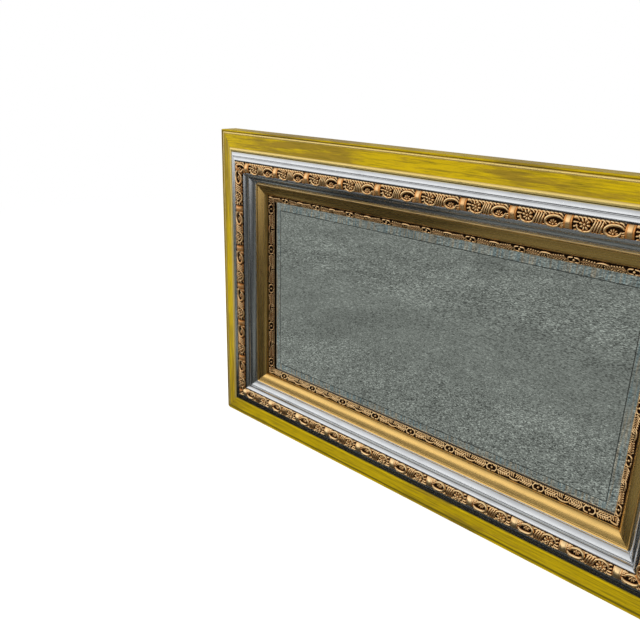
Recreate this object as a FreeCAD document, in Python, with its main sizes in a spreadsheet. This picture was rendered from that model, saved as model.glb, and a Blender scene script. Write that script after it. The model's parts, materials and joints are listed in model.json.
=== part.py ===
import FreeCAD, Part
import math
import os

import Sketcher
from FreeCAD import Placement, Rotation, Vector

# A framed wall mirror: three mitred mouldings, one inside the other, carry a bevelled glass.
# X runs along the frame, Z is up and the glass faces -Y.
# The origin is the middle of the back panel's rear face, which faces the wall.
# Every moulding section is drawn as (across, high): across runs from the frame's outer edge
# towards the glass, and high is the height above the mouldings' flat backs.

doc = FreeCAD.newDocument("wall_mirror")

# Driving sizes, in millimetres. Each one can be changed by itself.
SIZES = {
    # Glass
    "glass_long": "914.4",
    "glass_high": "457.2",
    "glass_thick": "5",
    "glass_edge_thick": "3",
    "bevel_wide": "25.4",
    "sight_overlap": "6.35",
    "glass_edge_gap": "1.65",
    # Clearance between pieces that are only slid together
    "face_gap": "0.2",
    # How wide each moulding shows from the front
    "outer_face_wide": "48.5",
    "reeded_face_wide": "72.8",
    "liner_face_wide": "40.7",
    # Heights, stepping outwards from the glass
    "sight_edge_thick": "3.3",
    "sight_bed_rise": "8.7",
    "liner_rise": "17",
    "fillet_stand": "2.4",
    "inner_slope_rise": "21.4",
    "outer_slope_rise": "7",
    "field_rise": "7",
    # Small relief of beads, reeds and quirks
    "bead_relief": "2.2",
    # Rabbets that each moulding laps over the next one with
    "outer_lap": "7.5",
    "outer_lap_thick": "6",
    "liner_lap": "7.5",
    "liner_lap_thick": "5.4",
    # Large ornament strip on the reeded moulding
    "ornament_wide": "25.5",
    "ornament_side_gap": "0.55",
    "ground_rise": "3.2",
    "lump_rise": "7",
    "lump_taper": "34",
    "knuckle_rise": "8.5",
    "knuckle_long": "15",
    "knuckle_drop": "1.3",
    "collar_long": "8.5",
    "knuckle_pitch": "100.2",
    "top_strip_shift": "-3.7",
    "bottom_strip_shift": "-13.5",
    # Small ornament strip at the sight edge
    "sight_strip_rise": "3.4",
    # Back: filler, panel and what holds them
    "filler_thick": "5.1",
    "panel_thick": "3",
    "panel_lap": "25.8",
    "panel_screw_inset": "12",
    "screw_round": "1.75",
    "screw_bite": "9",
    "screw_end_gap": "1",
    "screw_head_round": "3.6",
    "screw_head_thick": "1.7",
    "pilot_gap": "0.05",
    # Steel V-nails across the mitres
    "nail_leg": "10",
    "nail_thick": "0.6",
    "nail_deep": "10",
    # Plates that join the outer moulding to the reeded one
    "plate_long": "40",
    "plate_wide": "16",
    "plate_thick": "1.5",
    "plate_screw_space": "27",
    # Strap hangers and their D-rings
    "hang_drop": "200",
    "strap_wide": "14",
    "strap_long": "58",
    "strap_thick": "1.5",
    "strap_first_screw": "32",
    "strap_screw_space": "17",
    "ring_wire_round": "1.5",
    "ring_play": "0.3",
    "ring_wide": "21",
    "ring_drop": "20",
    "ring_corner": "3",
    # Bumpers that keep the lower edge off the wall, and blocks under the glass
    "bumper_round": "7",
    "bumper_thick": "6",
    "bumper_inset": "20",
    "block_long": "40",
    # How far a cutter runs past what it cuts
    "overrun": "5",
}

# Sizes that follow from the ones above.
FOLLOWING = {
    "member_wide": "=outer_face_wide + reeded_face_wide + liner_face_wide",
    "outer_long": "=glass_long - 2 * sight_overlap + 2 * member_wide",
    "outer_high": "=glass_high - 2 * sight_overlap + 2 * member_wide",
    "bevel_drop": "=glass_thick - glass_edge_thick",
    "bevel_drop_at_sight": "=bevel_drop * (1 - sight_overlap / bevel_wide)",
    "sight_seat_high": "=filler_thick + glass_thick - bevel_drop_at_sight + face_gap",
    "sight_edge_high": "=sight_seat_high + sight_edge_thick",
    "sight_bed_high": "=sight_edge_high + sight_bed_rise",
    "liner_high": "=sight_bed_high + liner_rise",
    "reeded_end_high": "=liner_high - fillet_stand",
    "liner_lap_high": "=reeded_end_high - liner_lap_thick",
    "bed_high": "=reeded_end_high + inner_slope_rise",
    "reeded_start_high": "=bed_high - outer_slope_rise",
    "outer_lap_high": "=reeded_start_high - outer_lap_thick",
    "outer_edge_high": "=reeded_start_high - field_rise",
    "reeded_start": "=outer_face_wide",
    "liner_start": "=outer_face_wide + reeded_face_wide",
    "rabbet_start": "=member_wide - sight_overlap - glass_edge_gap",
    "knuckle_round": "=(ornament_wide ^ 2 / 4 + knuckle_rise ^ 2) / (2 * knuckle_rise)",
    "pilot_deep": "=screw_bite + screw_end_gap",
    "panel_start": "=liner_start - liner_lap - panel_lap",
    "panel_long": "=outer_long - 2 * panel_start",
    "panel_high": "=outer_high - 2 * panel_start",
    "curl_inner_round": "=ring_wire_round + ring_play",
    "curl_outer_round": "=curl_inner_round + strap_thick",
    "ring_axis_out": "=curl_outer_round - panel_thick",
    "ring_axis_high": "=outer_high / 2 - hang_drop",
}

sheet = doc.addObject("Spreadsheet::Sheet", "Sizes")
for line_number, (alias, content) in enumerate({**SIZES, **FOLLOWING}.items(), start=1):
    sheet.set(f"A{line_number}", alias)
    sheet.set(f"B{line_number}", content)
    sheet.setAlias(f"B{line_number}", alias)
doc.recompute()


class Size:
    """A length held both as a number and as the expression that the document keeps."""

    def __init__(self, value, text):
        self.value = float(value)
        self.text = text

    def __add__(self, other):
        return Size(self.value + other.value, f"({self.text} + {other.text})")

    def __sub__(self, other):
        return Size(self.value - other.value, f"({self.text} - {other.text})")

    def __mul__(self, factor):
        return Size(self.value * factor, f"({self.text} * {factor})")

    def __neg__(self):
        return Size(-self.value, f"(0 - {self.text})")


ZERO = Size(0, "0")


def cell(alias):
    """The size that the sheet holds under this alias."""
    return Size(sheet.get(alias), f"Sizes.{alias}")


def bind(item, prop, size):
    """Tie one property of a document object to the sheet."""
    item.setExpression(prop, size.text)


def bind_place(item, across_x=ZERO, across_y=ZERO, up=ZERO):
    """Tie an object's position to the sheet."""
    bind(item, "Placement.Base.x", across_x)
    bind(item, "Placement.Base.y", across_y)
    bind(item, "Placement.Base.z", up)


# Sketches

def origin_plane(body, role):
    """A body's own origin plane, found by its role."""
    return next(item for item in body.Origin.OriginFeatures if item.Role == role)


def new_body(label):
    body = doc.addObject("PartDesign::Body", label)
    body.Label = label
    return body


def new_sketch(body, role, name, offset=None, turn=None):
    """A sketch on one of the body's origin planes, lifted off it by offset and turned."""
    sketch = body.newObject("Sketcher::SketchObject", f"{body.Label}_{name}")
    sketch.AttachmentSupport = [(origin_plane(body, role), "")]
    sketch.MapMode = "FlatFace"
    if turn is not None:
        sketch.AttachmentOffset = Placement(Vector(), turn)
    for axis, size in zip("xyz", offset or ()):
        bind(sketch, f"AttachmentOffset.Base.{axis}", size)
    return sketch


def pin_point(sketch, edge, end, right, up):
    """Fix one end of an edge at (right, up) from the sketch's origin, by expressions."""
    for kind, axis_edge, size in (("DistanceX", -2, right), ("DistanceY", -1, up)):
        if size.text == ZERO.text:
            sketch.addConstraint(Sketcher.Constraint("PointOnObject", edge, end, axis_edge))
            continue
        if size.value < 0:
            number = sketch.addConstraint(Sketcher.Constraint(kind, edge, end, -1, 1, -size.value))
            size = -size
        else:
            number = sketch.addConstraint(Sketcher.Constraint(kind, -1, 1, edge, end, size.value))
        sketch.setExpression(f"Constraints[{number}]", size.text)


def arc_middle(start, finish, bulge):
    """The middle point of an arc whose rise is bulge times its chord, to the left of its run."""
    chord = finish - start
    left = Vector(-chord.y, chord.x, 0)
    return (start + finish) * 0.5 + left * bulge


def draw_outline(sketch, corners):
    """Draw one closed outline. Each corner is (right, up, bulge of the edge to the next one)."""
    spots = [Vector(right.value, up.value, 0) for right, up, bulge in corners]
    first_edge = sketch.GeometryCount
    count = len(corners)
    for index, (right, up, bulge) in enumerate(corners):
        start = spots[index]
        finish = spots[(index + 1) % count]
        if bulge:
            edge = Part.Arc(start, arc_middle(start, finish, bulge), finish)
        else:
            edge = Part.LineSegment(start, finish)
        sketch.addGeometry(edge, False)
    ends = [edge_ends(sketch, first_edge + index, spots[index]) for index in range(count)]
    for index in range(count):
        edge = first_edge + index
        following = first_edge + (index + 1) % count
        leave = ends[index][1]
        arrive = ends[(index + 1) % count][0]
        sketch.addConstraint(Sketcher.Constraint("Coincident", edge, leave, following, arrive))
    for index, (right, up, bulge) in enumerate(corners):
        pin_point(sketch, first_edge + index, ends[index][0], right, up)
        if bulge:
            next_right, next_up, _ = corners[(index + 1) % count]
            bind_arc(sketch, first_edge + index, next_right - right, next_up - up, abs(bulge))


def edge_ends(sketch, edge, start):
    """Which of an edge's two ends lies at start, and which is the other one."""
    first = sketch.getPoint(edge, 1)
    last = sketch.getPoint(edge, 2)
    if first.distanceToPoint(start) <= last.distanceToPoint(start):
        return 1, 2
    return 2, 1


def bind_arc(sketch, edge, right_run, up_run, bulge):
    """Tie an arc's radius to its chord, so that its rise stays the same share of the chord."""
    factor = bulge / 2 + 1 / (8 * bulge)
    chord = math.hypot(right_run.value, up_run.value)
    number = sketch.addConstraint(Sketcher.Constraint("Radius", edge, chord * factor))
    run = f"sqrt({right_run.text} ^ 2 + {up_run.text} ^ 2)"
    sketch.setExpression(f"Constraints[{number}]", f"{run} * {factor}")


def draw_polygon(sketch, right, up, radius, sides):
    """Draw a regular polygon with its first corner to the right of its middle."""
    corners = []
    for number in range(sides):
        angle = 2 * math.pi * number / sides
        corner_right = right + radius * math.cos(angle)
        corner_up = up + radius * math.sin(angle)
        corners.append((corner_right, corner_up, 0))
    draw_outline(sketch, corners)


def draw_box(sketch, left, bottom, right, top):
    """Draw one upright rectangle."""
    draw_outline(sketch, [(left, bottom, 0), (right, bottom, 0), (right, top, 0), (left, top, 0)])


def pad(body, sketch, length, name, side="Symmetric"):
    feature = body.newObject("PartDesign::Pad", f"{body.Label}_{name}")
    feature.Profile = sketch
    feature.SideType = side
    bind(feature, "Length", length)
    body.Tip = feature
    return feature


def pocket_through(body, sketch, name):
    feature = body.newObject("PartDesign::Pocket", f"{body.Label}_{name}")
    feature.Profile = sketch
    feature.Type = "ThroughAll"
    feature.SideType = "Symmetric"
    body.Tip = feature
    return feature


def pocket_deep(body, sketch, length, name, reverse=False):
    feature = body.newObject("PartDesign::Pocket", f"{body.Label}_{name}")
    feature.Profile = sketch
    feature.Reversed = reverse
    bind(feature, "Length", length)
    body.Tip = feature
    return feature


# The four sides of the frame. Each piece of a side is modelled along X, with its outer edge
# at Z = 0, its back on Y = 0 and its face towards -Y, and then turned into place.

SIDES = {
    "bottom": {"run": "outer_long", "turn": 0, "out": "outer_high"},
    "right": {"run": "outer_high", "turn": -90, "out": "outer_long"},
    "top": {"run": "outer_long", "turn": 180, "out": "outer_high"},
    "left": {"run": "outer_high", "turn": 90, "out": "outer_long"},
}


def seat_on_side(item, side):
    """Turn an object about Y into its side of the frame, behind the panel's rear face."""
    layout = SIDES[side]
    item.Placement = Placement(Vector(), Rotation(Vector(0, 1, 0), layout["turn"]))
    out = cell(layout["out"]) * 0.5
    upright = side in ("left", "right")
    inwards = out if side in ("right", "top") else -out
    bind_place(item, inwards if upright else ZERO, -cell("panel_thick"), ZERO if upright else inwards)


# Moulding sections. Each face is a run of (across, rise, relief, bulge) shares: across is a
# share of the moulding's face width, rise a share of the height between its two edges, relief
# a share of the small relief, and bulge the rise of the arc to the next point over its chord.

OUTER_FACE_SHARES = [
    # Rounded outer edge and lip
    (0.000, 0.00, -1.15, 0.207),
    (0.052, 0.00, 0.00, 0.0),
    (0.070, 0.00, -0.10, 0.0),
    # Groove, then a bead
    (0.099, 0.00, -1.60, 0.0),
    (0.113, 0.00, -0.70, 0.28),
    (0.200, 0.00, -0.20, 0.0),
    # Wide field, very slightly hollow
    (0.206, 0.00, -0.45, -0.03),
    (0.836, 0.92, 0.00, 0.0),
    # Inner bead
    (0.846, 0.92, 0.30, 0.27),
    (0.985, 1.00, 0.35, 0.0),
    (1.000, 1.00, 0.15, 0.0),
]

REEDED_OUTER_SHARES = [
    # Broad reed, quirk and narrow reed, climbing to the ornament
    (0.006, 0.00, 0.00, 0.17),
    (0.150, 0.80, 0.00, 0.0),
    (0.155, 0.80, 0.00, 0.16),
    (0.295, 1.00, 0.72, 0.0),
]

REEDED_INNER_SHARES = [
    # Narrow reed, quirk, broad reed and a hollow, falling from the ornament
    (0.675, 1.00, 0.10, 0.16),
    (0.786, 0.57, 0.00, 0.0),
    (0.792, 0.53, 0.00, 0.19),
    (0.924, 0.06, 0.00, -0.12),
    (1.000, 0.00, 0.00, 0.0),
]

LINER_FACE_SHARES = [
    # Raised fillet
    (0.005, 1.00, -0.30, 0.25),
    (0.055, 1.00, -0.30, 0.0),
    (0.060, 1.00, -0.75, -0.08),
    # Hollow, then the ovolo that curls down to the small ornament
    (0.310, 0.70, 0.00, 0.19),
    (0.605, 0.16, 0.00, 0.0),
    (0.620, 0.06, 0.00, 0.0),
]

# Where the large ornament's bed starts, in shares of the reeded moulding's face
STRIP_BED_SHARE = 0.295

# Where the small ornament's bed starts and stops, in shares of the liner's face
SIGHT_BED_SHARES = (0.630, 0.975)

# How much of that bed the small ornament covers
SIGHT_STRIP_SHARES = (0.03, 0.97)


def face_points(shares, start, wide, base, rise):
    """Turn a run of shares into corners of the section, as (high, across, bulge)."""
    relief = cell("bead_relief")
    points = []
    for across, up, small, bulge in shares:
        high = base + rise * up + relief * small
        points.append((high, start + wide * across, -bulge))
    return points


def sight_bed_spot(share):
    """A point of the small ornament's bed, as (high, across), a share of the way along it."""
    first, last = SIGHT_BED_SHARES
    face = cell("liner_face_wide")
    across = cell("liner_start") + face * (first + (last - first) * share)
    high = cell("sight_bed_high") - cell("sight_bed_rise") * share
    return high, across


def outer_section():
    lap_start = cell("outer_face_wide") - cell("outer_lap")
    face = face_points(
        OUTER_FACE_SHARES, ZERO, cell("outer_face_wide"), cell("outer_edge_high"), cell("field_rise")
    )
    return face + [
        (cell("outer_lap_high"), cell("outer_face_wide"), 0),
        (cell("outer_lap_high"), lap_start, 0),
        (ZERO, lap_start, 0),
        (ZERO, ZERO, 0),
    ]


def reeded_section():
    gap = cell("face_gap")
    start = cell("reeded_start")
    wide = cell("reeded_face_wide")
    back_start = start - cell("outer_lap") + gap
    tongue_high = cell("outer_lap_high") - gap
    liner_wall = cell("liner_start") - cell("liner_lap")
    bed_near = start + wide * STRIP_BED_SHARE
    bed_far = bed_near + cell("ornament_wide") + cell("ornament_side_gap") * 2
    outer_slope = face_points(
        REEDED_OUTER_SHARES, start, wide, cell("reeded_start_high"), cell("outer_slope_rise")
    )
    inner_slope = face_points(
        REEDED_INNER_SHARES, start, wide, cell("reeded_end_high"), cell("inner_slope_rise")
    )
    return (
        [(ZERO, back_start, 0), (tongue_high, back_start, 0), (tongue_high, start + gap, 0)]
        + outer_slope
        + [(cell("bed_high"), bed_near, 0), (cell("bed_high"), bed_far, 0)]
        + inner_slope
        + [
            (cell("liner_lap_high"), cell("liner_start"), 0),
            (cell("liner_lap_high"), liner_wall, 0),
            (ZERO, liner_wall, 0),
        ]
    )


def liner_section():
    gap = cell("face_gap")
    start = cell("liner_start")
    wide = cell("liner_face_wide")
    back_start = start - cell("liner_lap") + gap
    tongue_high = cell("liner_lap_high") - gap
    face = face_points(LINER_FACE_SHARES, start, wide, cell("sight_bed_high"), cell("liner_rise"))
    bed_first = sight_bed_spot(0)
    bed_last = sight_bed_spot(1)
    return (
        [(ZERO, back_start, 0), (tongue_high, back_start, 0), (tongue_high, start + gap, 0)]
        + face
        + [
            (bed_first[0], bed_first[1], 0),
            (bed_last[0], bed_last[1], 0),
            (cell("sight_edge_high"), cell("member_wide"), 0),
            (cell("sight_seat_high"), cell("member_wide"), 0),
            (cell("sight_seat_high"), cell("rabbet_start"), 0),
            (ZERO, cell("rabbet_start"), 0),
        ]
    )


# Screws stay hidden once driven, so shanks and their holes have few sides.
SHANK_SIDES = 8
HEAD_SIDES = 8
WIRE_SIDES = 8
BOW_PARTS = 12
PAD_SIDES = 24

# The sketch plane is turned so that high runs to the sketch's right, towards the face.
FACE_RIGHT = Rotation(Vector(0, 1, 0), 180)


def cut_mitres(body, side):
    """Cut both ends of a side's piece at 45 degrees, through its whole depth."""
    half = cell(SIDES[side]["run"]) * 0.5
    over = cell("overrun")
    inner = cell("member_wide") + over
    sketch = new_sketch(body, "XZ_Plane", "mitre_sketch")
    for end in (1, -1):
        outer_corner = (half + over) * end
        corners = [
            (outer_corner, -over, 0),
            (outer_corner, inner, 0),
            ((half - inner) * end, inner, 0),
        ]
        draw_outline(sketch, corners)
    return pocket_through(body, sketch, "mitres")


def drill_back(body, name, places, radius, depth):
    """Drill blind holes into a moulding's back, at (along, across) places."""
    sketch = new_sketch(body, "XZ_Plane", f"{name}_sketch")
    for along, across in places:
        draw_polygon(sketch, along, across, radius, SHANK_SIDES)
    return pocket_deep(body, sketch, depth, name, reverse=True)


def slot_for_nails(body, side, places):
    """Cut the thin slots that a side's half of each V-nail sits in."""
    half = cell(SIDES[side]["run"]) * 0.5
    sketch = new_sketch(body, "XZ_Plane", "nail_sketch")
    for across in places:
        for end in (1, -1):
            point = (half - across) * end
            inner = (half - across - cell("nail_leg")) * end
            low, high = (inner, point) if end > 0 else (point, inner)
            draw_box(sketch, low, across, high, across + cell("nail_thick"))
    return pocket_deep(body, sketch, cell("nail_deep"), "nail_slots", reverse=True)


# Where the V-nails stand, in shares of each moulding's back
NAIL_SHARES = (0.25, 0.68)


def nail_places(moulding):
    """How far across from the frame's outer edge each V-nail of a moulding stands."""
    gap = cell("face_gap")
    starts = {
        "outer": ZERO,
        "reeded": cell("reeded_start") - cell("outer_lap") + gap,
        "liner": cell("liner_start") - cell("liner_lap") + gap,
    }
    stops = {
        "outer": cell("outer_face_wide") - cell("outer_lap"),
        "reeded": cell("liner_start") - cell("liner_lap"),
        "liner": cell("rabbet_start"),
    }
    wide = stops[moulding] - starts[moulding]
    return [starts[moulding] + wide * share for share in NAIL_SHARES]


# Screw places along each side, in shares of its run
PANEL_SCREW_SHARES = {
    "outer_long": (-0.36, -0.12, 0.12, 0.36),
    "outer_high": (-0.18, 0.18),
}
PLATE_SHARES = {
    "outer_long": (-0.3, 0.3),
    "outer_high": (-0.12,),
}


def panel_screw_places(side):
    run = SIDES[side]["run"]
    across = cell("panel_start") + cell("panel_screw_inset")
    return [(cell(run) * share, across) for share in PANEL_SCREW_SHARES[run]]


def plate_places(side):
    """Middles of the plates that bridge the outer and the reeded moulding."""
    run = SIDES[side]["run"]
    across = cell("outer_face_wide") - cell("outer_lap")
    flip = -1 if side == "left" else 1
    return [(cell(run) * (share * flip), across) for share in PLATE_SHARES[run]]


def strap_middle():
    """How far across from the outer edge the strap hangers are screwed."""
    return (cell("outer_face_wide") - cell("outer_lap")) * 0.5


def strap_screw_heights():
    """Heights of the two screws of a strap hanger."""
    first = cell("ring_axis_high") - cell("strap_first_screw")
    return [first, first - cell("strap_screw_space")]


def moulding_rail(label, side, moulding, section):
    """One mitred length of moulding, padded from its section."""
    body = new_body(label)
    sketch = new_sketch(body, "YZ_Plane", "section_sketch", turn=FACE_RIGHT)
    draw_outline(sketch, section)
    pad(body, sketch, cell(SIDES[side]["run"]), "length")
    cut_mitres(body, side)
    slot_for_nails(body, side, nail_places(moulding))
    return body


def build_outer_rail(side):
    body = moulding_rail(f"outer_rail_{side}", side, "outer", outer_section())
    pilot = cell("screw_round") + cell("pilot_gap")
    half_space = cell("plate_screw_space") * 0.5
    holes = [(along, across - half_space) for along, across in plate_places(side)]
    if side in ("left", "right"):
        flip = -1 if side == "left" else 1
        holes += [(height * flip, strap_middle()) for height in strap_screw_heights()]
    drill_back(body, "pilot_holes", holes, pilot, cell("pilot_deep"))
    seat_on_side(body, side)
    return body


def build_reeded_rail(side):
    body = moulding_rail(f"reeded_rail_{side}", side, "reeded", reeded_section())
    pilot = cell("screw_round") + cell("pilot_gap")
    half_space = cell("plate_screw_space") * 0.5
    holes = [(along, across + half_space) for along, across in plate_places(side)]
    holes += panel_screw_places(side)
    drill_back(body, "pilot_holes", holes, pilot, cell("pilot_deep"))
    seat_on_side(body, side)
    return body


def build_liner_rail(side):
    body = moulding_rail(f"gilt_liner_{side}", side, "liner", liner_section())
    seat_on_side(body, side)
    return body


# Ornament strips. The large one is a low rounded strip that is glued on the flat bed of the
# reeded moulding. Each repeat has a collared knuckle, a leafy scroll and a flower.

# Width of the low ground at the bed and at its top, in shares of the strip's width
GROUND_WIDE_SHARES = (0.96, 0.88)

KNUCKLE_FLATS = 5

# Outlines of the flower and the scroll, as (along, across) from the knuckle's middle, in
# shares of the knuckles' pitch and of the strip's width
LUMP_SHARES = [
    [(-0.115, -0.34), (-0.39, -0.40), (-0.42, 0.10), (-0.30, 0.47), (-0.14, 0.42)],
    [(0.13, -0.10), (0.25, -0.46), (0.40, -0.30), (0.40, 0.32), (0.22, 0.47)],
]


def strip_middle():
    bed_near = cell("reeded_start") + cell("reeded_face_wide") * STRIP_BED_SHARE
    return bed_near + cell("ornament_side_gap") + cell("ornament_wide") * 0.5


def knuckle_count(side):
    """How many whole repeats fit on each half of a side, as a sheet expression and a number."""
    run = cell(SIDES[side]["run"])
    reach = run * 0.5 - strip_middle()
    per_half = math.floor(reach.value / cell("knuckle_pitch").value)
    text = f"floor({reach.text} / Sizes.knuckle_pitch)"
    return Size(per_half, text)


def first_knuckle(side):
    """How far along its side the first knuckle stands."""
    shift = {"top": cell("top_strip_shift"), "bottom": cell("bottom_strip_shift")}.get(side, ZERO)
    per_half = knuckle_count(side)
    pitch = cell("knuckle_pitch")
    return Size(
        shift.value - per_half.value * pitch.value,
        f"({shift.text} - {per_half.text} * {pitch.text})",
    )


def arched_section(radius, drop):
    """Flats round the ridge, from one side of the bed to the other, lowered by drop."""
    bed = cell("bed_high")
    middle = strip_middle()
    axis_high = bed + cell("knuckle_rise") - cell("knuckle_round")
    reach = math.acos((bed - axis_high).value / radius.value)
    corners = []
    for number in range(KNUCKLE_FLATS + 1):
        angle = reach * (2 * number / KNUCKLE_FLATS - 1)
        high = axis_high + (radius - drop) * math.cos(angle)
        if number in (0, KNUCKLE_FLATS):
            high = bed
        corners.append((high, middle + (radius - drop) * math.sin(angle), 0))
    return corners


def add_ring(body, name, start, drop, long):
    """Pad one arched ring across the ridge, standing at start."""
    outline = new_sketch(
        body, "YZ_Plane", f"{name}_sketch", offset=(ZERO, ZERO, start), turn=FACE_RIGHT
    )
    draw_outline(outline, arched_section(cell("knuckle_round"), drop))
    return pad(body, outline, long, name), outline


def add_lumps(body, start):
    """Raise the flower and the scroll beside the knuckle at start, with sloping sides."""
    outline = new_sketch(body, "XZ_Plane", "lump_sketch", offset=(ZERO, ZERO, cell("bed_high")))
    for shares in LUMP_SHARES:
        corners = [
            (
                start + cell("knuckle_pitch") * along,
                strip_middle() + cell("ornament_wide") * across,
                0,
            )
            for along, across in shares
        ]
        draw_outline(outline, corners)
    lumps = pad(body, outline, cell("lump_rise"), "lumps", side="One side")
    bind(lumps, "TaperAngle", -cell("lump_taper"))
    return lumps


def build_ornament_strip(side):
    body = new_body(f"ornament_strip_{side}")
    section = new_sketch(body, "YZ_Plane", "ground_sketch", turn=FACE_RIGHT)
    half_base, half_top = [cell("ornament_wide") * (share / 2) for share in GROUND_WIDE_SHARES]
    bed = cell("bed_high")
    ground = [
        (bed, strip_middle() - half_base, 0),
        (bed + cell("ground_rise"), strip_middle() - half_top, 0),
        (bed + cell("ground_rise"), strip_middle() + half_top, 0),
        (bed, strip_middle() + half_base, 0),
    ]
    draw_outline(section, ground)
    pad(body, section, cell(SIDES[side]["run"]), "ground")

    start = first_knuckle(side)
    lumps = add_lumps(body, start)
    band, outline = add_ring(body, "knuckle", start, cell("knuckle_drop"), cell("knuckle_long"))
    collar, _ = add_ring(body, "collar", start, ZERO, cell("collar_long"))
    per_half = knuckle_count(side)
    pitch = cell("knuckle_pitch")
    row = body.newObject("PartDesign::LinearPattern", f"{body.Label}_knuckles")
    row.Originals = [lumps, band, collar]
    row.Direction = (outline, ["N_Axis"])
    row.Reversed = True
    row.Length = 2 * per_half.value * pitch.value
    row.setExpression("Length", f"2 * {per_half.text} * {pitch.text}")
    row.Occurrences = int(2 * per_half.value + 1)
    row.setExpression("Occurrences", f"2 * {per_half.text} + 1")
    body.Tip = row
    cut_mitres(body, side)
    seat_on_side(body, side)
    return body


def build_sight_strip(side):
    body = new_body(f"sight_strip_{side}")
    section = new_sketch(body, "YZ_Plane", "section_sketch", turn=FACE_RIGHT)
    near_high, near_across = sight_bed_spot(SIGHT_STRIP_SHARES[0])
    far_high, far_across = sight_bed_spot(SIGHT_STRIP_SHARES[1])
    chord = math.hypot(far_high.value - near_high.value, far_across.value - near_across.value)
    bulge = cell("sight_strip_rise").value / chord
    draw_outline(section, [(near_high, near_across, -bulge), (far_high, far_across, 0)])
    pad(body, section, cell(SIDES[side]["run"]), "ground")
    cut_mitres(body, side)
    seat_on_side(body, side)
    return body


# Glass, filler and back panel

def box(label, long_x, deep_y, high_z, place_x, place_y, place_z):
    """A plain block, centred in X and Z on its place, with its front face at place_y."""
    block = doc.addObject("Part::Box", label)
    block.Label = label
    bind(block, "Length", long_x)
    bind(block, "Width", deep_y)
    bind(block, "Height", high_z)
    bind_place(block, place_x - long_x * 0.5, place_y, place_z - high_z * 0.5)
    return block


def fuse(label, pieces):
    joined = doc.addObject("Part::MultiFuse", label)
    joined.Label = label
    joined.Shapes = pieces
    return joined


def cut(label, base, tool):
    result = doc.addObject("Part::Cut", label)
    result.Label = label
    result.Base = base
    result.Tool = tool
    return result


def group(label, pieces):
    gathered = doc.addObject("Part::Compound", label)
    gathered.Label = label
    gathered.Links = pieces
    return gathered


def build_glass():
    """A slab with a wide low bevel on its front: a straight edge below a frustum."""
    long_x = cell("glass_long")
    high_z = cell("glass_high")
    edge = cell("glass_edge_thick")
    bevel = cell("bevel_wide")
    back = -cell("panel_thick") - cell("filler_thick")
    slab = box("glass_slab", long_x, edge, high_z, ZERO, back - edge, ZERO)
    crown = doc.addObject("Part::Wedge", "glass_crown")
    limits = {
        "Xmin": -long_x * 0.5,
        "Xmax": long_x * 0.5,
        "Zmin": -high_z * 0.5,
        "Zmax": high_z * 0.5,
        "X2min": bevel - long_x * 0.5,
        "X2max": long_x * 0.5 - bevel,
        "Z2min": bevel - high_z * 0.5,
        "Z2max": high_z * 0.5 - bevel,
        "Ymin": ZERO,
        "Ymax": cell("bevel_drop"),
    }
    for prop, size in limits.items():
        setattr(crown, prop, size.value)
        bind(crown, prop, size)
    crown.Placement = Placement(Vector(), Rotation(Vector(1, 0, 0), 180))
    bind_place(crown, ZERO, back - edge, ZERO)
    return fuse("mirror_glass", [slab, crown])


def build_filler():
    """Board that fills the rabbet between the glass and the back panel."""
    return box(
        "filler_board",
        cell("glass_long"),
        cell("filler_thick"),
        cell("glass_high"),
        ZERO,
        -cell("panel_thick") - cell("filler_thick"),
        ZERO,
    )


def world_places(side, places):
    """Turn (along, across) places of a side into world (x, z)."""
    half_long = cell("outer_long") * 0.5
    half_high = cell("outer_high") * 0.5
    turned = {
        "bottom": lambda along, across: (along, across - half_high),
        "top": lambda along, across: (-along, half_high - across),
        "left": lambda along, across: (across - half_long, -along),
        "right": lambda along, across: (half_long - across, along),
    }
    return [turned[side](along, across) for along, across in places]


def build_back_panel():
    body = new_body("back_panel")
    outline = new_sketch(body, "XZ_Plane", "outline_sketch")
    half_long = cell("panel_long") * 0.5
    half_high = cell("panel_high") * 0.5
    draw_box(outline, -half_long, -half_high, half_long, half_high)
    pad(body, outline, cell("panel_thick"), "sheet", side="One side")
    holes = new_sketch(body, "XZ_Plane", "hole_sketch")
    clearance = cell("screw_round") + cell("pilot_gap")
    for side in SIDES:
        for right, up in world_places(side, panel_screw_places(side)):
            draw_polygon(holes, right, up, clearance, SHANK_SIDES)
    pocket_through(body, holes, "screw_holes")
    seats = new_sketch(body, "XZ_Plane", "seat_sketch")
    seat_round = cell("screw_head_round") + cell("pilot_gap")
    for side in SIDES:
        for right, up in world_places(side, panel_screw_places(side)):
            draw_polygon(seats, right, up, seat_round, HEAD_SIDES)
    pocket_deep(body, seats, cell("screw_head_thick"), "head_seats", reverse=True)
    return body


def prism(name, sides, radius, height, right, out, up):
    """A many-sided pin along Y, starting at out and running towards the face."""
    pin = doc.addObject("Part::Prism", name)
    pin.Polygon = sides
    bind(pin, "Circumradius", radius)
    bind(pin, "Height", height)
    pin.Placement = Placement(Vector(), Rotation(Vector(1, 0, 0), 90))
    bind_place(pin, right, out, up)
    return pin


def screw(name, right, head_out, up, length):
    """A pan-headed screw driven towards the face; its length counts from under its head."""
    head_round = cell("screw_head_round")
    head_thick = cell("screw_head_thick")
    seat = head_out - head_thick
    head = prism(f"{name}_head", HEAD_SIDES, head_round, head_thick, right, head_out, up)
    shank = prism(f"{name}_shank", SHANK_SIDES, cell("screw_round"), length, right, seat, up)
    return fuse(name, [head, shank])


def build_panel_screws():
    """Screws whose heads are let in flush with the panel's rear face."""
    screws = []
    head_out = ZERO
    length = cell("panel_thick") - cell("screw_head_thick") + cell("screw_bite")
    for side in SIDES:
        for right, up in world_places(side, panel_screw_places(side)):
            screws.append(screw(f"panel_screw_{len(screws) + 1}", right, head_out, up, length))
    return group("panel_screws", screws)


def plate_screw_places(side):
    half_space = cell("plate_screw_space") * 0.5
    places = []
    for along, across in plate_places(side):
        places += [(along, across - half_space), (along, across + half_space)]
    return places


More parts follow.
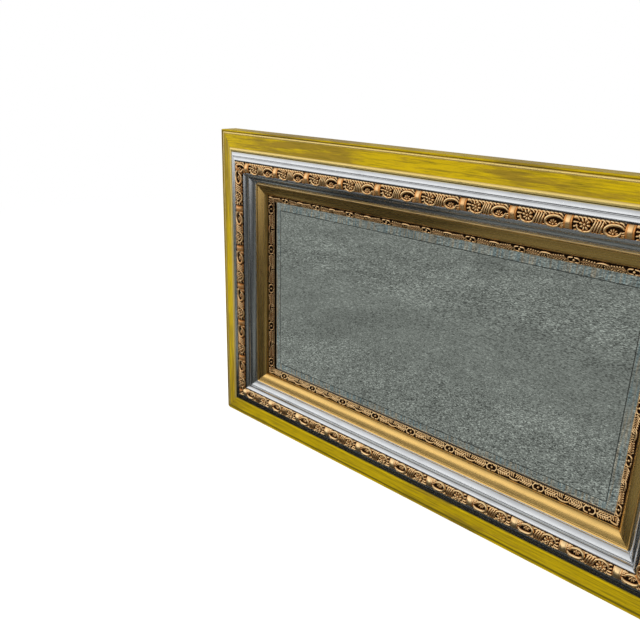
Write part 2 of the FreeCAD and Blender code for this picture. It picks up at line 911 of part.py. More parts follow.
def build_plates():
    plates = []
    back = -cell("panel_thick")
    radius = cell("screw_round") + cell("pilot_gap")
    drill_long = cell("panel_thick") + cell("plate_thick")
    for side in SIDES:
        upright = side in ("left", "right")
        long_x = cell("plate_long") if upright else cell("plate_wide")
        high_z = cell("plate_wide") if upright else cell("plate_long")
        middles = world_places(side, plate_places(side))
        drilled = world_places(side, plate_screw_places(side))
        for index, (right, up) in enumerate(middles):
            name = f"plate_{side}_{index + 1}"
            blank = box(f"{name}_blank", long_x, cell("plate_thick"), high_z, right, back, up)
            holes = [
                prism(f"{name}_hole_{number}", SHANK_SIDES, radius, drill_long, x, ZERO, z)
                for number, (x, z) in enumerate(drilled[2 * index : 2 * index + 2], start=1)
            ]
            plates.append(cut(name, blank, fuse(f"{name}_holes", holes)))
    return group("joining_plates", plates)


def build_plate_screws():
    screws = []
    head_out = cell("plate_thick") + cell("screw_head_thick") - cell("panel_thick")
    length = cell("plate_thick") + cell("screw_bite")
    for side in SIDES:
        for right, up in world_places(side, plate_screw_places(side)):
            screws.append(screw(f"plate_screw_{len(screws) + 1}", right, head_out, up, length))
    return group("plate_screws", screws)


def build_v_nails(moulding):
    """Angled steel nails, pressed flush into the back across each mitre of one moulding."""
    nails = []
    leg = cell("nail_leg")
    thick = cell("nail_thick")
    deep = cell("nail_deep")
    front = -cell("panel_thick") - deep
    for side_x in (1, -1):
        for side_z in (1, -1):
            for across in nail_places(moulding):
                name = f"{moulding}_nail_{len(nails) + 1}"
                corner_x = (cell("outer_long") * 0.5 - across) * side_x
                corner_z = (cell("outer_high") * 0.5 - across) * side_z
                along_x = box(
                    f"{name}_x",
                    leg,
                    deep,
                    thick,
                    corner_x - leg * (0.5 * side_x),
                    front,
                    corner_z - thick * (0.5 * side_z),
                )
                along_z = box(
                    f"{name}_z",
                    thick,
                    deep,
                    leg,
                    corner_x - thick * (0.5 * side_x),
                    front,
                    corner_z - leg * (0.5 * side_z),
                )
                nails.append(fuse(name, [along_x, along_z]))
    return group(f"v_nails_{moulding}", nails)


def build_setting_blocks():
    """Two blocks that the glass stands on, in the bottom rabbet."""
    blocks = []
    high_z = cell("glass_edge_gap")
    deep = cell("glass_edge_thick")
    front = -cell("panel_thick") - cell("filler_thick") - deep
    up = -cell("glass_high") * 0.5 - high_z * 0.5
    for name, share in (("left_block", -0.25), ("right_block", 0.25)):
        right = cell("glass_long") * share
        blocks.append(box(name, cell("block_long"), deep, high_z, right, front, up))
    return group("setting_blocks", blocks)


# Strap hangers and D-rings. Both are drawn about the ring's axis: the strap's end curls
# round the ring's straight bar, and the ring hangs down over the strap.

HANGER_SIDES = {"left": -1, "right": 1}


def place_hanger(item, side):
    across = (cell("outer_long") * 0.5 - strap_middle()) * HANGER_SIDES[side]
    bind_place(item, across, cell("ring_axis_out"), cell("ring_axis_high"))


def build_strap(side):
    body = new_body(f"hanger_strap_{side}")
    profile = new_sketch(body, "YZ_Plane", "curl_sketch")
    outer = cell("curl_outer_round")
    inner = cell("curl_inner_round")
    end = -cell("strap_long")
    quarter = (math.sqrt(2) - 1) / 2
    outline = [
        (-outer, end, 0),
        (-outer, ZERO, quarter),
        (ZERO, outer, quarter),
        (outer, ZERO, quarter),
        (ZERO, -outer, 0),
        (ZERO, -inner, -quarter),
        (inner, ZERO, -quarter),
        (ZERO, inner, -quarter),
        (-inner, ZERO, 0),
        (-inner, end, 0),
    ]
    draw_outline(profile, outline)
    pad(body, profile, cell("strap_wide"), "strap")
    holes = new_sketch(body, "XZ_Plane", "hole_sketch")
    radius = cell("screw_round") + cell("pilot_gap")
    first = -cell("strap_first_screw")
    for up in (first, first - cell("strap_screw_space")):
        draw_polygon(holes, ZERO, up, radius, SHANK_SIDES)
    pocket_through(body, holes, "screw_holes")
    place_hanger(body, side)
    return body


def ring_path(label):
    """The middle line of the ring's wire: a straight bar, two arms and a half-round bow."""
    half = cell("ring_wide") * 0.5
    corner = cell("ring_corner")
    bow = half - cell("ring_drop")
    path = doc.addObject("Sketcher::SketchObject", f"{label}_path")
    path.Placement = Placement(Vector(), Rotation(Vector(1, 0, 0), 90))
    outline = [
        (corner - half, ZERO, 0),
        (half - corner, ZERO, 0),
        (half, -corner, 0),
    ]
    for number in range(BOW_PARTS + 1):
        angle = math.pi * number / BOW_PARTS
        outline.append((half * math.cos(angle), bow - half * math.sin(angle), 0))
    outline.append((-half, -corner, 0))
    draw_outline(path, outline)
    return path


def build_ring(side):
    """A D-ring bent from wire, made by sweeping the wire's section round its path."""
    label = f"d_ring_{side}"
    section = doc.addObject("Part::RegularPolygon", f"{label}_wire")
    section.Polygon = WIRE_SIDES
    bind(section, "Circumradius", cell("ring_wire_round"))
    section.Placement = Placement(Vector(), Rotation(Vector(0, 1, 0), 90))
    path = ring_path(label)
    ring = doc.addObject("Part::Sweep", label)
    ring.Label = label
    ring.Sections = [section]
    ring.Spine = (path, [f"Edge{number + 1}" for number in range(path.GeometryCount)])
    ring.Solid = True
    ring.Transition = "Right corner"
    place_hanger(ring, side)
    return ring


def build_hanger_screws():
    screws = []
    head_out = cell("strap_thick") + cell("screw_head_thick") - cell("panel_thick")
    length = cell("strap_thick") + cell("screw_bite")
    for side, sign in HANGER_SIDES.items():
        across = (cell("outer_long") * 0.5 - strap_middle()) * sign
        for up in strap_screw_heights():
            screws.append(screw(f"hanger_screw_{len(screws) + 1}", across, head_out, up, length))
    return group("hanger_screws", screws)


def build_bumper(side):
    """A round felt bumper at one lower corner of the frame's back."""
    name = f"wall_bumper_{side}"
    across = (cell("outer_long") * 0.5 - cell("bumper_inset")) * HANGER_SIDES[side]
    rear = cell("bumper_thick") - cell("panel_thick")
    up = cell("bumper_inset") - cell("outer_high") * 0.5
    bumper = prism(name, PAD_SIDES, cell("bumper_round"), cell("bumper_thick"), across, rear, up)
    bumper.Label = name
    return bumper


def build_parts():
    parts = []
    for side in SIDES:
        parts.append(build_outer_rail(side))
        parts.append(build_reeded_rail(side))
        parts.append(build_ornament_strip(side))
        parts.append(build_liner_rail(side))
        parts.append(build_sight_strip(side))
    parts += [build_glass(), build_filler(), build_back_panel()]
    parts += [build_panel_screws(), build_plates(), build_plate_screws()]
    parts += [build_v_nails(moulding) for moulding in ("outer", "reeded", "liner")]
    parts.append(build_setting_blocks())
    for side in HANGER_SIDES:
        parts += [build_strap(side), build_ring(side), build_bumper(side)]
    parts.append(build_hanger_screws())
    return parts


def check_document(parts):
    """Stop if any object failed, or any sub-part is empty or broken."""
    for item in doc.Objects:
        if "Invalid" in item.State or "Error" in item.State:
            raise RuntimeError(f"{item.Name} failed: {item.State}")
    for part in parts:
        if part.Shape.isNull() or not part.Shape.isValid() or not part.Shape.Solids:
            raise RuntimeError(f"{part.Label} has no valid solid")


def export_parts(parts):
    os.makedirs("parts", exist_ok=True)
    for part in parts:
        part.Shape.exportStep(f"parts/{part.Label}.step")
        solids = len(part.Shape.Solids)
        print(f"{part.Label}: {solids} solid(s), {part.Shape.Volume / 1000:.2f} cm3")


sub_parts = build_parts()
doc.recompute()
check_document(sub_parts)
export_parts(sub_parts)
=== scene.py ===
import json
import math
from collections import namedtuple

import bmesh
import bpy
import numpy as np
from bpy.props import FloatProperty, FloatVectorProperty, IntProperty, PointerProperty
from mathutils import Matrix, Vector


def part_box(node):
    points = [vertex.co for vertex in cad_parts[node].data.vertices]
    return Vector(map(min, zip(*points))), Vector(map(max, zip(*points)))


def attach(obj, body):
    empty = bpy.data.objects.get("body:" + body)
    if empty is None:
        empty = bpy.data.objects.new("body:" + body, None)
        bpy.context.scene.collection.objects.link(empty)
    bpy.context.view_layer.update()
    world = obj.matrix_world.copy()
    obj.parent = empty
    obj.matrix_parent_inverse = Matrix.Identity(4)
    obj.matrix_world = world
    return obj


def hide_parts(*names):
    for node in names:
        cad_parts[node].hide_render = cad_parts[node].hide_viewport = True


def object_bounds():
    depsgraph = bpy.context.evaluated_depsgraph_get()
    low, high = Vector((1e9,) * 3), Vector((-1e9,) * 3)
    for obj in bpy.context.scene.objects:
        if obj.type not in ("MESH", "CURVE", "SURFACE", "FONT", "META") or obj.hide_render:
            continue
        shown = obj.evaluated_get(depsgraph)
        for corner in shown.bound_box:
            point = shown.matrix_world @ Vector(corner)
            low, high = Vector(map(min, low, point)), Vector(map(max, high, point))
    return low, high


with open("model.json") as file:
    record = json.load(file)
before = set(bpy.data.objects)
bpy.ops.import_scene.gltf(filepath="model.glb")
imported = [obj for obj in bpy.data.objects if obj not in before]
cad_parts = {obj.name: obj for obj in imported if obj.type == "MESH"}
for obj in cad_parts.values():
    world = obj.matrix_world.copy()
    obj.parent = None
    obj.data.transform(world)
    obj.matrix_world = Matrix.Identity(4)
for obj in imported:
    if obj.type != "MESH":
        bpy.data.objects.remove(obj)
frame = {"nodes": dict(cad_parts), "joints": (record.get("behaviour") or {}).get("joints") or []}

# A framed wall mirror. X runs along the frame, Z is up and the glass faces -Y.
# Moulding sections are drawn as (across, high): across runs from the frame's outer edge
# towards the glass, and high is the height above the mouldings' flat backs. All in metres.

bl_info = {
    "name": "Framed wall mirror",
    "version": (1, 0, 0),
    "blender": (4, 5, 0),
    "location": "3D View > Sidebar > Wall mirror",
    "description": "Dresses a framed wall mirror: mouldings, ornament, glass and hangers",
    "category": "Object",
}

CAD_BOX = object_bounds()
MM = 0.001
WHITE = (1, 1, 1, 1)

GLASS_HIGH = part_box("mirror_glass")[1]
HALF_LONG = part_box("outer_rail_right")[1].x
HALF_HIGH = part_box("outer_rail_top")[1].z
BACK_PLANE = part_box("back_panel")[0].y

# Gap between lapped mouldings, and bare bed on each side of the large ornament
FACE_GAP = 0.2 * MM
BED_MARGIN = 1.05 * MM
# How far the liner covers the glass, how thick its edge is there, and the glass's rabbet
SIGHT_OVERLAP = 6.35 * MM
SIGHT_EDGE_THICK = 3.3 * MM
GLASS_RABBET = 8 * MM
MEMBER_WIDE = HALF_HIGH - GLASS_HIGH.z + SIGHT_OVERLAP


def linear(hex_text):
    """An sRGB hex colour as the linear colour that shaders work in."""
    shares = [int(hex_text[place : place + 2], 16) / 255 for place in (0, 2, 4)]
    return [share / 12.92 if share <= 0.04045 else ((share + 0.055) / 1.055) ** 2.4 for share in shares]


def length(name, description, millimetres):
    value = millimetres * MM
    return FloatProperty(name=name, description=description, default=value, subtype="DISTANCE", precision=5)


def colour(name, description, hex_text):
    shade = linear(hex_text)
    return FloatVectorProperty(name=name, description=description, default=shade, subtype="COLOR", min=0, max=1)


class MirrorSizes(bpy.types.PropertyGroup):
    """Sizes of the mirror's dressed pieces."""

    outer_face: length("Outer moulding", "Width that the outer moulding shows", 48.5)
    reeded_face: length("Reeded moulding", "Width that the reeded moulding shows", 72.8)
    liner_face: length("Gilt liner", "Width that the gilt liner shows", 40.7)
    outer_edge_high: length("Outer edge height", "Height of the frame's outer edge", 42.8)
    field_rise: length("Field rise", "How far the wide field climbs inwards", 7)
    outer_slope_rise: length("Outer slope", "How far the outer reeds climb", 7)
    inner_slope_rise: length("Inner slope", "How far the inner reeds fall", 21.4)
    fillet_stand: length("Fillet stand", "How far the liner's fillet stands over the reeds", 2.4)
    liner_rise: length("Liner rise", "How far the liner climbs from the ornament", 17)
    sight_bed_rise: length("Sight bed rise", "How far the small ornament's bed climbs", 8.7)
    sight_edge_high: length("Sight edge height", "Height of the edge next to the glass", 12.1)
    bead_relief: length("Bead relief", "Relief of beads, reeds and quirks", 2.2)
    lap: length("Lap", "Width of the rabbets between mouldings", 7.5)
    lap_thick: length("Lap thickness", "Thickness of the lip over each rabbet", 6)
    edge_ease: length("Eased edges", "How much each sharp edge is rubbed down", 0.4)
    corner_round: length("Rubbed corners", "Radius of the frame's two lower corners", 11)
    ornament_wide: length("Ornament width", "Width of the large ornament strip", 24.5)
    ornament_arch: length("Ornament arch", "Rise of the strip's ground", 3.3)
    ornament_relief: length("Ornament relief", "Height of scrolls over the ground", 4.6)
    knuckle_round: length("Knuckle radius", "Radius of each knuckle across the strip", 13.81)
    knuckle_rise: length("Knuckle rise", "Height of each knuckle over the bed", 8.05)
    knuckle_pitch: length("Knuckle pitch", "Distance from one knuckle to the next", 100.2)
    top_shift: length("Top shift", "Shift of the top strip's middle knuckle", -3.7)
    bottom_shift: length("Bottom shift", "Shift of the bottom strip's middle knuckle", -13.5)
    sight_pitch: length("Small ornament pitch", "Distance between the small ornament's repeats", 102)
    sight_relief: length("Small ornament relief", "Height of beads and leaves", 3.1)
    bevel_wide: length("Glass bevel", "Width of the glass's bevel", 25.4)
    bevel_deep: length("Bevel depth", "How much thinner the bevel makes the glass's edge", 2)
    wire_round: length("Ring wire radius", "Radius of the D-ring's wire", 1.5)
    ring_wide: length("Ring width", "Width of the D-ring to the wire's middle", 21)
    ring_drop: length("Ring drop", "Drop of the D-ring to the wire's middle", 20)
    ring_corner: length("Ring corner", "Bend radius of the D-ring's corners", 3)
    strap_thick: length("Strap thickness", "Thickness of the strap hanger", 1.5)
    strap_wide: length("Strap width", "Width of the strap hanger", 14)
    strap_long: length("Strap length", "Length of the strap below the ring's bar", 58)
    ring_play: length("Ring play", "Gap between the ring's bar and the strap's curl", 0.3)
    screw_head: length("Screw head radius", "Radius of the screw heads", 3.35)
    screw_dome: length("Screw head height", "Height of the screw heads", 1.7)
    felt_ease: length("Felt edge", "Rounding of the felt bumpers' rim", 0.9)
    floor_half: length("Floor", "Half of the floor's width", 6000)
    ring_steps: IntProperty(name="Ring steps", description="Points round each bend of the ring", default=24)


class MirrorColours(bpy.types.PropertyGroup):
    """Colours of the mirror's finishes."""

    glaze: colour("Glaze", "Yellow green glaze where it lies thick", "CBAC08")
    # Also the colour of the painted shade in the grooves and at the outer bead's foot.
    glaze_thin: colour("Thin glaze", "Glaze brushed thin over the gold", "9A7E1F")
    glaze_dark: colour("Dark glaze", "Glaze gathered in grooves and brush marks", "655A0E")
    # Also the painted highlight on the beads of the top and left.
    glaze_gold: colour("Gold bead", "Gold showing through on the beads", "F7DC8C")
    silver: colour("Silver leaf", "Burnished silver leaf", "D6D8DA")
    # Also the colour of the painted shade in the quirks and beside the ornament.
    silver_dark: colour("Silver glaze", "Grey glaze left in the quirks", "484A4C")
    gold: colour("Gold leaf", "Burnished gold leaf", "E9C074")
    # Also the colour of the painted shade beside the small ornament.
    gold_dark: colour("Gold glaze", "Brown glaze left in the corners", "2E2010")
    copper: colour("Copper gold", "Gilt composition", "E9A15A")
    copper_small: colour("Copper gold, small ornament", "Gilt composition at the sight edge", "E6B27E")
    # On the crests this is partly a painted highlight.
    copper_light: colour("Copper gold, rubbed", "Rubbed high spots of the ornament", "FFDBA2")
    # In the recesses this is partly painted shade.
    copper_dark: colour("Ornament recess", "Brown glaze in the ornament's recesses", "160B05")
    mirror: colour("Mirror", "Silvered glass", "E2E7E5")
    pine: colour("Pine", "Bare pine of the moulding backs", "C9A26C")
    hardboard: colour("Hardboard", "Pressed brown board", "6E4C30")
    grey_board: colour("Grey board", "Filler board behind the glass", "77736B")
    zinc: colour("Zinc plate", "Zinc plated steel", "B4B6B8")
    steel: colour("Bright steel", "Nail steel", "9A9A9C")
    rubber: colour("Rubber", "Black rubber blocks", "1C1C1C")
    felt: colour("Felt", "Brown pressed felt", "5A3C28")
    floor: colour("Floor", "Pale studio floor", "F4F4F4")
    ground: colour("Ground in the glass", "Grey ground that the mirror shows", "828580")


def sizes():
    return bpy.context.scene.mirror_sizes


def colours():
    return bpy.context.scene.mirror_colours


def face_span(kind):
    """Where a moulding's face starts, counted from the frame's outer edge, and its width."""
    size = sizes()
    return {
        "outer": (0, size.outer_face),
        "reeded": (size.outer_face, size.reeded_face),
        "liner": (size.outer_face + size.reeded_face, size.liner_face),
    }[kind]


# Nodes

def add_node(tree, kind, *inputs, stops=(), output=None, **settings):
    """Add a node and give its first live output, the one that is named, or with "*" all of them.

    Inputs are values or sockets to link, in the node's own order or in a dict by name. Stops are
    a ramp's (place, colour or grey).
    """
    node = tree.nodes.new(kind if "Node" in kind else f"ShaderNode{kind}")
    for name, value in settings.items():
        setattr(node, name, value)
    for place, given in enumerate(inputs):
        for socket, source in (given if isinstance(given, dict) else {place: given}).items():
            if isinstance(source, bpy.types.NodeSocket):
                tree.links.new(source, node.inputs[socket])
            else:
                node.inputs[socket].default_value = source
    if stops:
        ramp = node.color_ramp
        while len(ramp.elements) > 1:
            ramp.elements.remove(ramp.elements[0])
        for number, (place, shade) in enumerate(stops):
            stop = ramp.elements.new(place) if number else ramp.elements[0]
            stop.position = place
            stop.color = (*(shade if hasattr(shade, "__len__") else (shade,) * 3), 1)
    if output == "*":
        return node.outputs
    return node.outputs[output] if output else next((item for item in node.outputs if item.enabled), None)


def tinted(shade, *shares):
    """A colour with its parts scaled, all alike or each by its own share."""
    return tuple(min(part * share, 1) for part, share in zip(shade, shares * (3 // len(shares))))


def new_material(name):
    material = bpy.data.materials.new(name)
    material.use_nodes = True
    material.node_tree.nodes.clear()
    return material, material.node_tree


def frame_lines(tree):
    """Where a point lies on the frame, whichever side it is on, from a group made once."""
    name = "Frame lines"
    if name not in bpy.data.node_groups:
        group = bpy.data.node_groups.new(name, "ShaderNodeTree")
        for socket, kind in (("Across", "Float"), ("Depth", "Float"), ("Mitre", "Float"), ("Grain", "Vector")):
            group.interface.new_socket(name=socket, in_out="OUTPUT", socket_type=f"NodeSocket{kind}")
        place = add_node(group, "TexCoord", output="Object")
        x, depth, z = add_node(group, "SeparateXYZ", place, output="*")
        away_x, away_z = (add_node(group, "Math", way, operation="ABSOLUTE") for way in (x, z))
        from_end = add_node(group, "Math", HALF_LONG, away_x, operation="SUBTRACT")
        from_top = add_node(group, "Math", HALF_HIGH, away_z, operation="SUBTRACT")
        across = add_node(group, "Math", from_end, from_top, operation="MINIMUM")
        upright = add_node(group, "Math", from_end, from_top, operation="LESS_THAN")
        level = add_node(group, "Math", 1, upright, operation="SUBTRACT")
        # Grain runs along each length, shifted so that no two lengths are alike.
        end, top = (add_node(group, "Math", way, operation="SIGN") for way in (x, z))
        top_shift = add_node(group, "Math", top, 3, operation="MULTIPLY")
        along_end = add_node(group, "Math", z, end, operation="ADD")
        along_top = add_node(group, "Math", x, top_shift, operation="ADD")
        on_top = add_node(group, "Math", along_top, level, operation="MULTIPLY")
        along = add_node(group, "Math", along_end, upright, on_top, operation="MULTIPLY_ADD")
        grain = add_node(group, "CombineXYZ", along, across, depth)
        apart = add_node(group, "Math", from_end, from_top, operation="SUBTRACT")
        mitre = add_node(group, "Math", apart, operation="ABSOLUTE")
        add_node(group, "NodeGroupOutput", across, depth, mitre, grain)
    return add_node(tree, "Group", node_tree=bpy.data.node_groups[name], output="*")


def streaks(tree, lines, scale, detail=3.0, rough=0.55):
    """Marks that run lengthwise; scale is in marks per metre along, across and deep."""
    stretched = add_node(tree, "Mapping", lines["Grain"], {"Scale": scale})
    return add_node(tree, "TexNoise", stretched, {"Scale": 1, "Detail": detail, "Roughness": rough})


# Finishes. Each maker gives the inputs of the one shader that its material ends in.

def pine_backs(tree, lines, front, metal, gloss):
    """The finish's colour, metal and gloss on the front, and bare pine on the flat backs."""
    # Year rings are about 3 mm apart and 250 mm long.
    rings = streaks(tree, lines, (4, 320, 320), 4, 0.5)
    light = colours().pine
    dark = tinted(light, 0.55)
    pine = add_node(tree, "ValToRGB", rings, stops=[(0.36, dark), (0.52, light), (0.7, dark)])
    # The bare back starts 0.3 mm behind the face that the panel lies on.
    back = add_node(tree, "Math", lines["Depth"], BACK_PLANE - 0.3 * MM, operation="GREATER_THAN")
    return {
        "Base Color": add_node(tree, "Mix", {"Factor": back, "A": front, "B": pine}, data_type="RGBA"),
        "Metallic": add_node(tree, "Mix", {"Factor": back, "A": metal, "B": 0}),
        "Roughness": add_node(tree, "Mix", {"Factor": back, "A": gloss, "B": 0.8}),
    }


def shade_lines(tree, lines, span, quirks, shown, glaze):
    """Dark lines along the quirks, each as (share across the face, half width, strength): partly glaze left in them,
    partly painted shade in the crevices.
    """
    stops = [(0, 0)]
    for share, reach, strength in quirks:
        for offset, tone in ((-1, 0), (-0.15, strength), (0.15, strength), (1, 0)):
            if 0 < share + reach * offset <= 1:
                stops.append((share + reach * offset, tone))
    start, wide = span
    place = add_node(tree, "MapRange", lines["Across"], start, start + wide)
    lined = add_node(tree, "ValToRGB", place, stops=stops)
    # A joint line a third of a millimetre wide shows where the lengths meet.
    joint = add_node(tree, "MapRange", lines["Mitre"], 0.2 * MM, 0.7 * MM, 0.6, 0)
    most = add_node(tree, "Math", lined, joint, operation="MAXIMUM")
    return add_node(tree, "Mix", {"Factor": most, "A": shown, "B": (*glaze, 1)}, data_type="RGBA")


def brushed_green_glaze(tree):
    """Oil glaze brushed over gold size: streaks of yellow green that let warm gold through."""
    lines = frame_lines(tree)
    span = face_span("outer")
    paint = colours()
    dark = (*paint.glaze_dark, 1)
    # Each side's rubbed share, which sets the painted light and shade on this moulding.
    rubbed = add_node(tree, "Attribute", attribute_name="rubbed", output="Fac")
    # Bristle marks are 2 to 3 mm apart and 70 mm long; thin places are 100 mm long and come
    # thicker on some half metres of the moulding than on others.
    bristles = streaks(tree, lines, (14, 380, 380), 5, 0.75)
    patches = streaks(tree, lines, (9, 90, 90), 5, 0.65)
    coats = streaks(tree, lines, (2.4, 4, 4), 1)
    # Sides with more rubbed share get a thinner glaze, so their field is painted darker: painted shade.
    worn = add_node(tree, "Math", rubbed, -0.12, -0.39, operation="MULTIPLY_ADD")
    coat = add_node(tree, "Math", coats, 0.9, worn, operation="MULTIPLY_ADD")
    left_on = add_node(tree, "Math", patches, coat, operation="ADD")
    thick = add_node(tree, "ValToRGB", left_on, stops=[(0.36, paint.glaze_thin), (0.54, paint.glaze)])
    marks = add_node(tree, "ValToRGB", bristles, stops=[(0.33, 0.75), (0.53, 0)])
    brushed = add_node(tree, "Mix", {"Factor": marks, "A": thick, "B": dark}, data_type="RGBA")
    face = add_node(tree, "MapRange", lines["Across"], *span)
    # Gold is painted on the two beads by each side's rubbed share: a painted highlight, strongest on the top.
    bead_stops = [(0.105, 0), (0.12, 0.9), (0.2, 0.9), (0.22, 0), (0.835, 0), (0.85, 0.95), (1, 0.95)]
    beads = add_node(tree, "ValToRGB", face, stops=bead_stops)
    bead_gold_and_highlight = add_node(tree, "Math", beads, rubbed, operation="MULTIPLY")
    # Elsewhere the outer bead's foot is painted dark, the more the less a side is rubbed: painted shade, strongest
    # on the bottom.
    foot = add_node(tree, "ValToRGB", face, stops=[(0.13, 0), (0.16, 1), (0.205, 1), (0.23, 0)])
    shaded_side_share = add_node(tree, "Math", 1, rubbed, operation="SUBTRACT")
    gathered = add_node(tree, "Math", foot, shaded_side_share, operation="MULTIPLY")
    footed = add_node(tree, "Mix", {"Factor": gathered, "A": brushed, "B": dark}, data_type="RGBA")
    gold = (*paint.glaze_gold, 1)
    gilt = add_node(tree, "Mix", {"Factor": bead_gold_and_highlight, "A": footed, "B": gold}, data_type="RGBA")
    # Dark lines at the groove, the field's two edges and the drop to the silver: partly glaze, partly painted shade.
    quirks = ((0.096, 0.016, 0.6), (0.204, 0.008, 0.3), (0.841, 0.01, 0.3), (0.996, 0.014, 0.8))
    front = shade_lines(tree, lines, span, quirks, gilt, paint.glaze_dark)
    metal = add_node(tree, "MapRange", bead_gold_and_highlight, 0, 1, 0.1, 0.85)
    gloss = add_node(tree, "MapRange", bristles, 0, 1, 0.38, 0.56)
    normal = add_node(tree, "Bump", {"Height": bristles, "Distance": 0.3 * MM})
    shown = pine_backs(tree, lines, front, metal, gloss)
    return {**shown, "Specular IOR Level": 0.15, "Normal": normal}


def burnished_leaf(tree, kind, leaf, glaze, patch_dark, rough, quirks):
    """Metal leaf rubbed over bole: smooth lengthwise shine with faint laps and brown corners."""
    lines = frame_lines(tree)
    shade = getattr(colours(), leaf)
    # Burnishing marks are about 1.5 mm apart; leaf laps are cloudy patches 30 mm across.
    rubbing = streaks(tree, lines, (9, 600, 600))
    laps = streaks(tree, lines, (24, 60, 60))
    cloudy = add_node(tree, "ValToRGB", laps, stops=[(0.32, tinted(shade, patch_dark)), (0.55, shade)])
    front = shade_lines(tree, lines, face_span(kind), quirks, cloudy, getattr(colours(), glaze))
    metal = add_node(tree, "MapRange", laps, 0, 1, 0.97, 1)
    gloss = add_node(tree, "MapRange", rubbing, 0, 1, rough - 0.06, rough + 0.1)
    normal = add_node(tree, "Bump", {"Height": rubbing, "Distance": 0.06 * MM})
    return {**pine_backs(tree, lines, front, metal, gloss), "Normal": normal}


def gilt_composition(tree, leaf, ground, rubbed):
    """Pressed composition in bronze gold, dark in its recesses and light on its crests: partly brown glaze wiped off
    its high spots, partly painted shade and highlight.
    """
    paint = colours()
    shade = getattr(paint, leaf)
    relief = add_node(tree, "Attribute", attribute_name="relief", output="Fac")
    place = add_node(tree, "TexCoord", output="Object")
    # Pits of the casting are about 0.8 mm across.
    pits = add_node(tree, "TexNoise", place, {"Scale": 1250, "Detail": 2})
    wiped = add_node(tree, "TexNoise", place, {"Scale": 90, "Detail": 3})
    unsteady = add_node(tree, "MapRange", wiped, 0, 1, -0.12, 0.12)
    height = add_node(tree, "Math", relief, unsteady, operation="ADD")
    # Recesses and the ornament's sides are painted dark and crests reach the rubbed colour: partly glaze, partly
    # painted shade and highlight.
    recess = [(0.24, paint.copper_dark), (ground, tinted(shade, 0.3, 0.22, 0.14))]
    raised = [(ground + 0.13, shade), (rubbed, paint.copper_light)]
    return {
        "Base Color": add_node(tree, "ValToRGB", height, stops=recess + raised),
        "Metallic": add_node(tree, "MapRange", height, 0.15, 0.6, 0.1, 0.93),
        "Roughness": add_node(tree, "MapRange", height, 0.1, 0.8, 0.7, 0.28),
        "Specular IOR Level": 0.05,
        "Normal": add_node(tree, "Bump", {"Height": pits, "Strength": 0.6, "Distance": 0.15 * MM}),
    }


def silvered_glass(tree):
    """Float glass silvered on its back: a clean mirror whose bevel splits the light a little."""
    bevel = sizes().bevel_wide
    clean = colours().mirror
    place = add_node(tree, "TexCoord", output="Object")
    away = add_node(tree, "VectorMath", place, operation="ABSOLUTE")
    from_edge = add_node(tree, "VectorMath", (GLASS_HIGH.x, 1, GLASS_HIGH.z), away, operation="SUBTRACT")
    from_end, _, from_top = add_node(tree, "SeparateXYZ", from_edge, output="*")
    inward = add_node(tree, "Math", from_end, from_top, operation="MINIMUM")
    # Wiping marks are broad and faint, about 40 mm across.
    wiped = add_node(tree, "TexNoise", place, {"Scale": 25, "Detail": 3})
    tone = add_node(tree, "ValToRGB", wiped, stops=[(0.3, tinted(clean, 0.95)), (0.7, clean)])
    # Streaks of split light in the bevel are about 4 mm apart.
    stretched = add_node(tree, "Mapping", place, {"Scale": (1, 0.05, 0.05)})
    streaked = add_node(tree, "TexNoise", stretched, {"Scale": 240, "Detail": 2})
    cold = tinted(clean, 0.5, 0.78, 0.98)
    warm = tinted(clean, 1.3, 0.98, 0.72)
    split_stops = [(0.36, cold), (0.47, clean), (0.53, clean), (0.64, warm)]
    split = add_node(tree, "ValToRGB", streaked, stops=split_stops)
    reach = add_node(tree, "Math", inward, bevel * 2, operation="DIVIDE")
    in_bevel = add_node(tree, "ValToRGB", reach, stops=[(0, 0.5), (0.47, 0.5), (0.5, 0)])
    bevelled = add_node(tree, "Mix", {"Factor": in_bevel, "A": tone, "B": split}, data_type="RGBA")
    # The bevel's inner edge is painted as a dark line under a millimetre wide, where its reflection meets the flat
    # glass's: painted shade.
    to_edge = add_node(tree, "Math", inward, bevel, operation="SUBTRACT")
    gap = add_node(tree, "Math", to_edge, operation="ABSOLUTE")
    line = add_node(tree, "MapRange", gap, 0.3 * MM, 1.3 * MM, 0.85, 0)
    bevel_line_shade = (0.03, 0.035, 0.035, 1)
    lined = add_node(tree, "Mix", {"Factor": line, "A": bevelled, "B": bevel_line_shade}, data_type="RGBA")
    # The silvered back lies flat behind the bevel, which bends light like a prism: the image in
    # it leans towards the middle by the bevel's slope times the glass's refractive index less 1.
    lean = 0.52 * sizes().bevel_deep / bevel
    on_bevel = add_node(tree, "Math", inward, bevel, operation="LESS_THAN")
    upright = add_node(tree, "Math", from_end, from_top, operation="LESS_THAN")
    level = add_node(tree, "Math", 1, upright, operation="SUBTRACT")
    towards = add_node(tree, "VectorMath", place, operation="SIGN")
    ways = add_node(tree, "CombineXYZ", upright, 0, level)
    outwards = add_node(tree, "VectorMath", towards, ways, operation="MULTIPLY")
    strength = add_node(tree, "Math", on_bevel, -lean, operation="MULTIPLY")
    leaning = add_node(tree, "VectorMath", outwards, {"Scale": strength}, operation="SCALE")
    facing = add_node(tree, "VectorMath", leaning, (0, -1, 0), operation="ADD")
    turning = {"vector_type": "NORMAL", "convert_from": "OBJECT", "convert_to": "WORLD"}
    normal = add_node(tree, "VectorTransform", facing, **turning)
    return {"Base Color": lined, "Metallic": 1, "Roughness": 0, "Normal": normal}


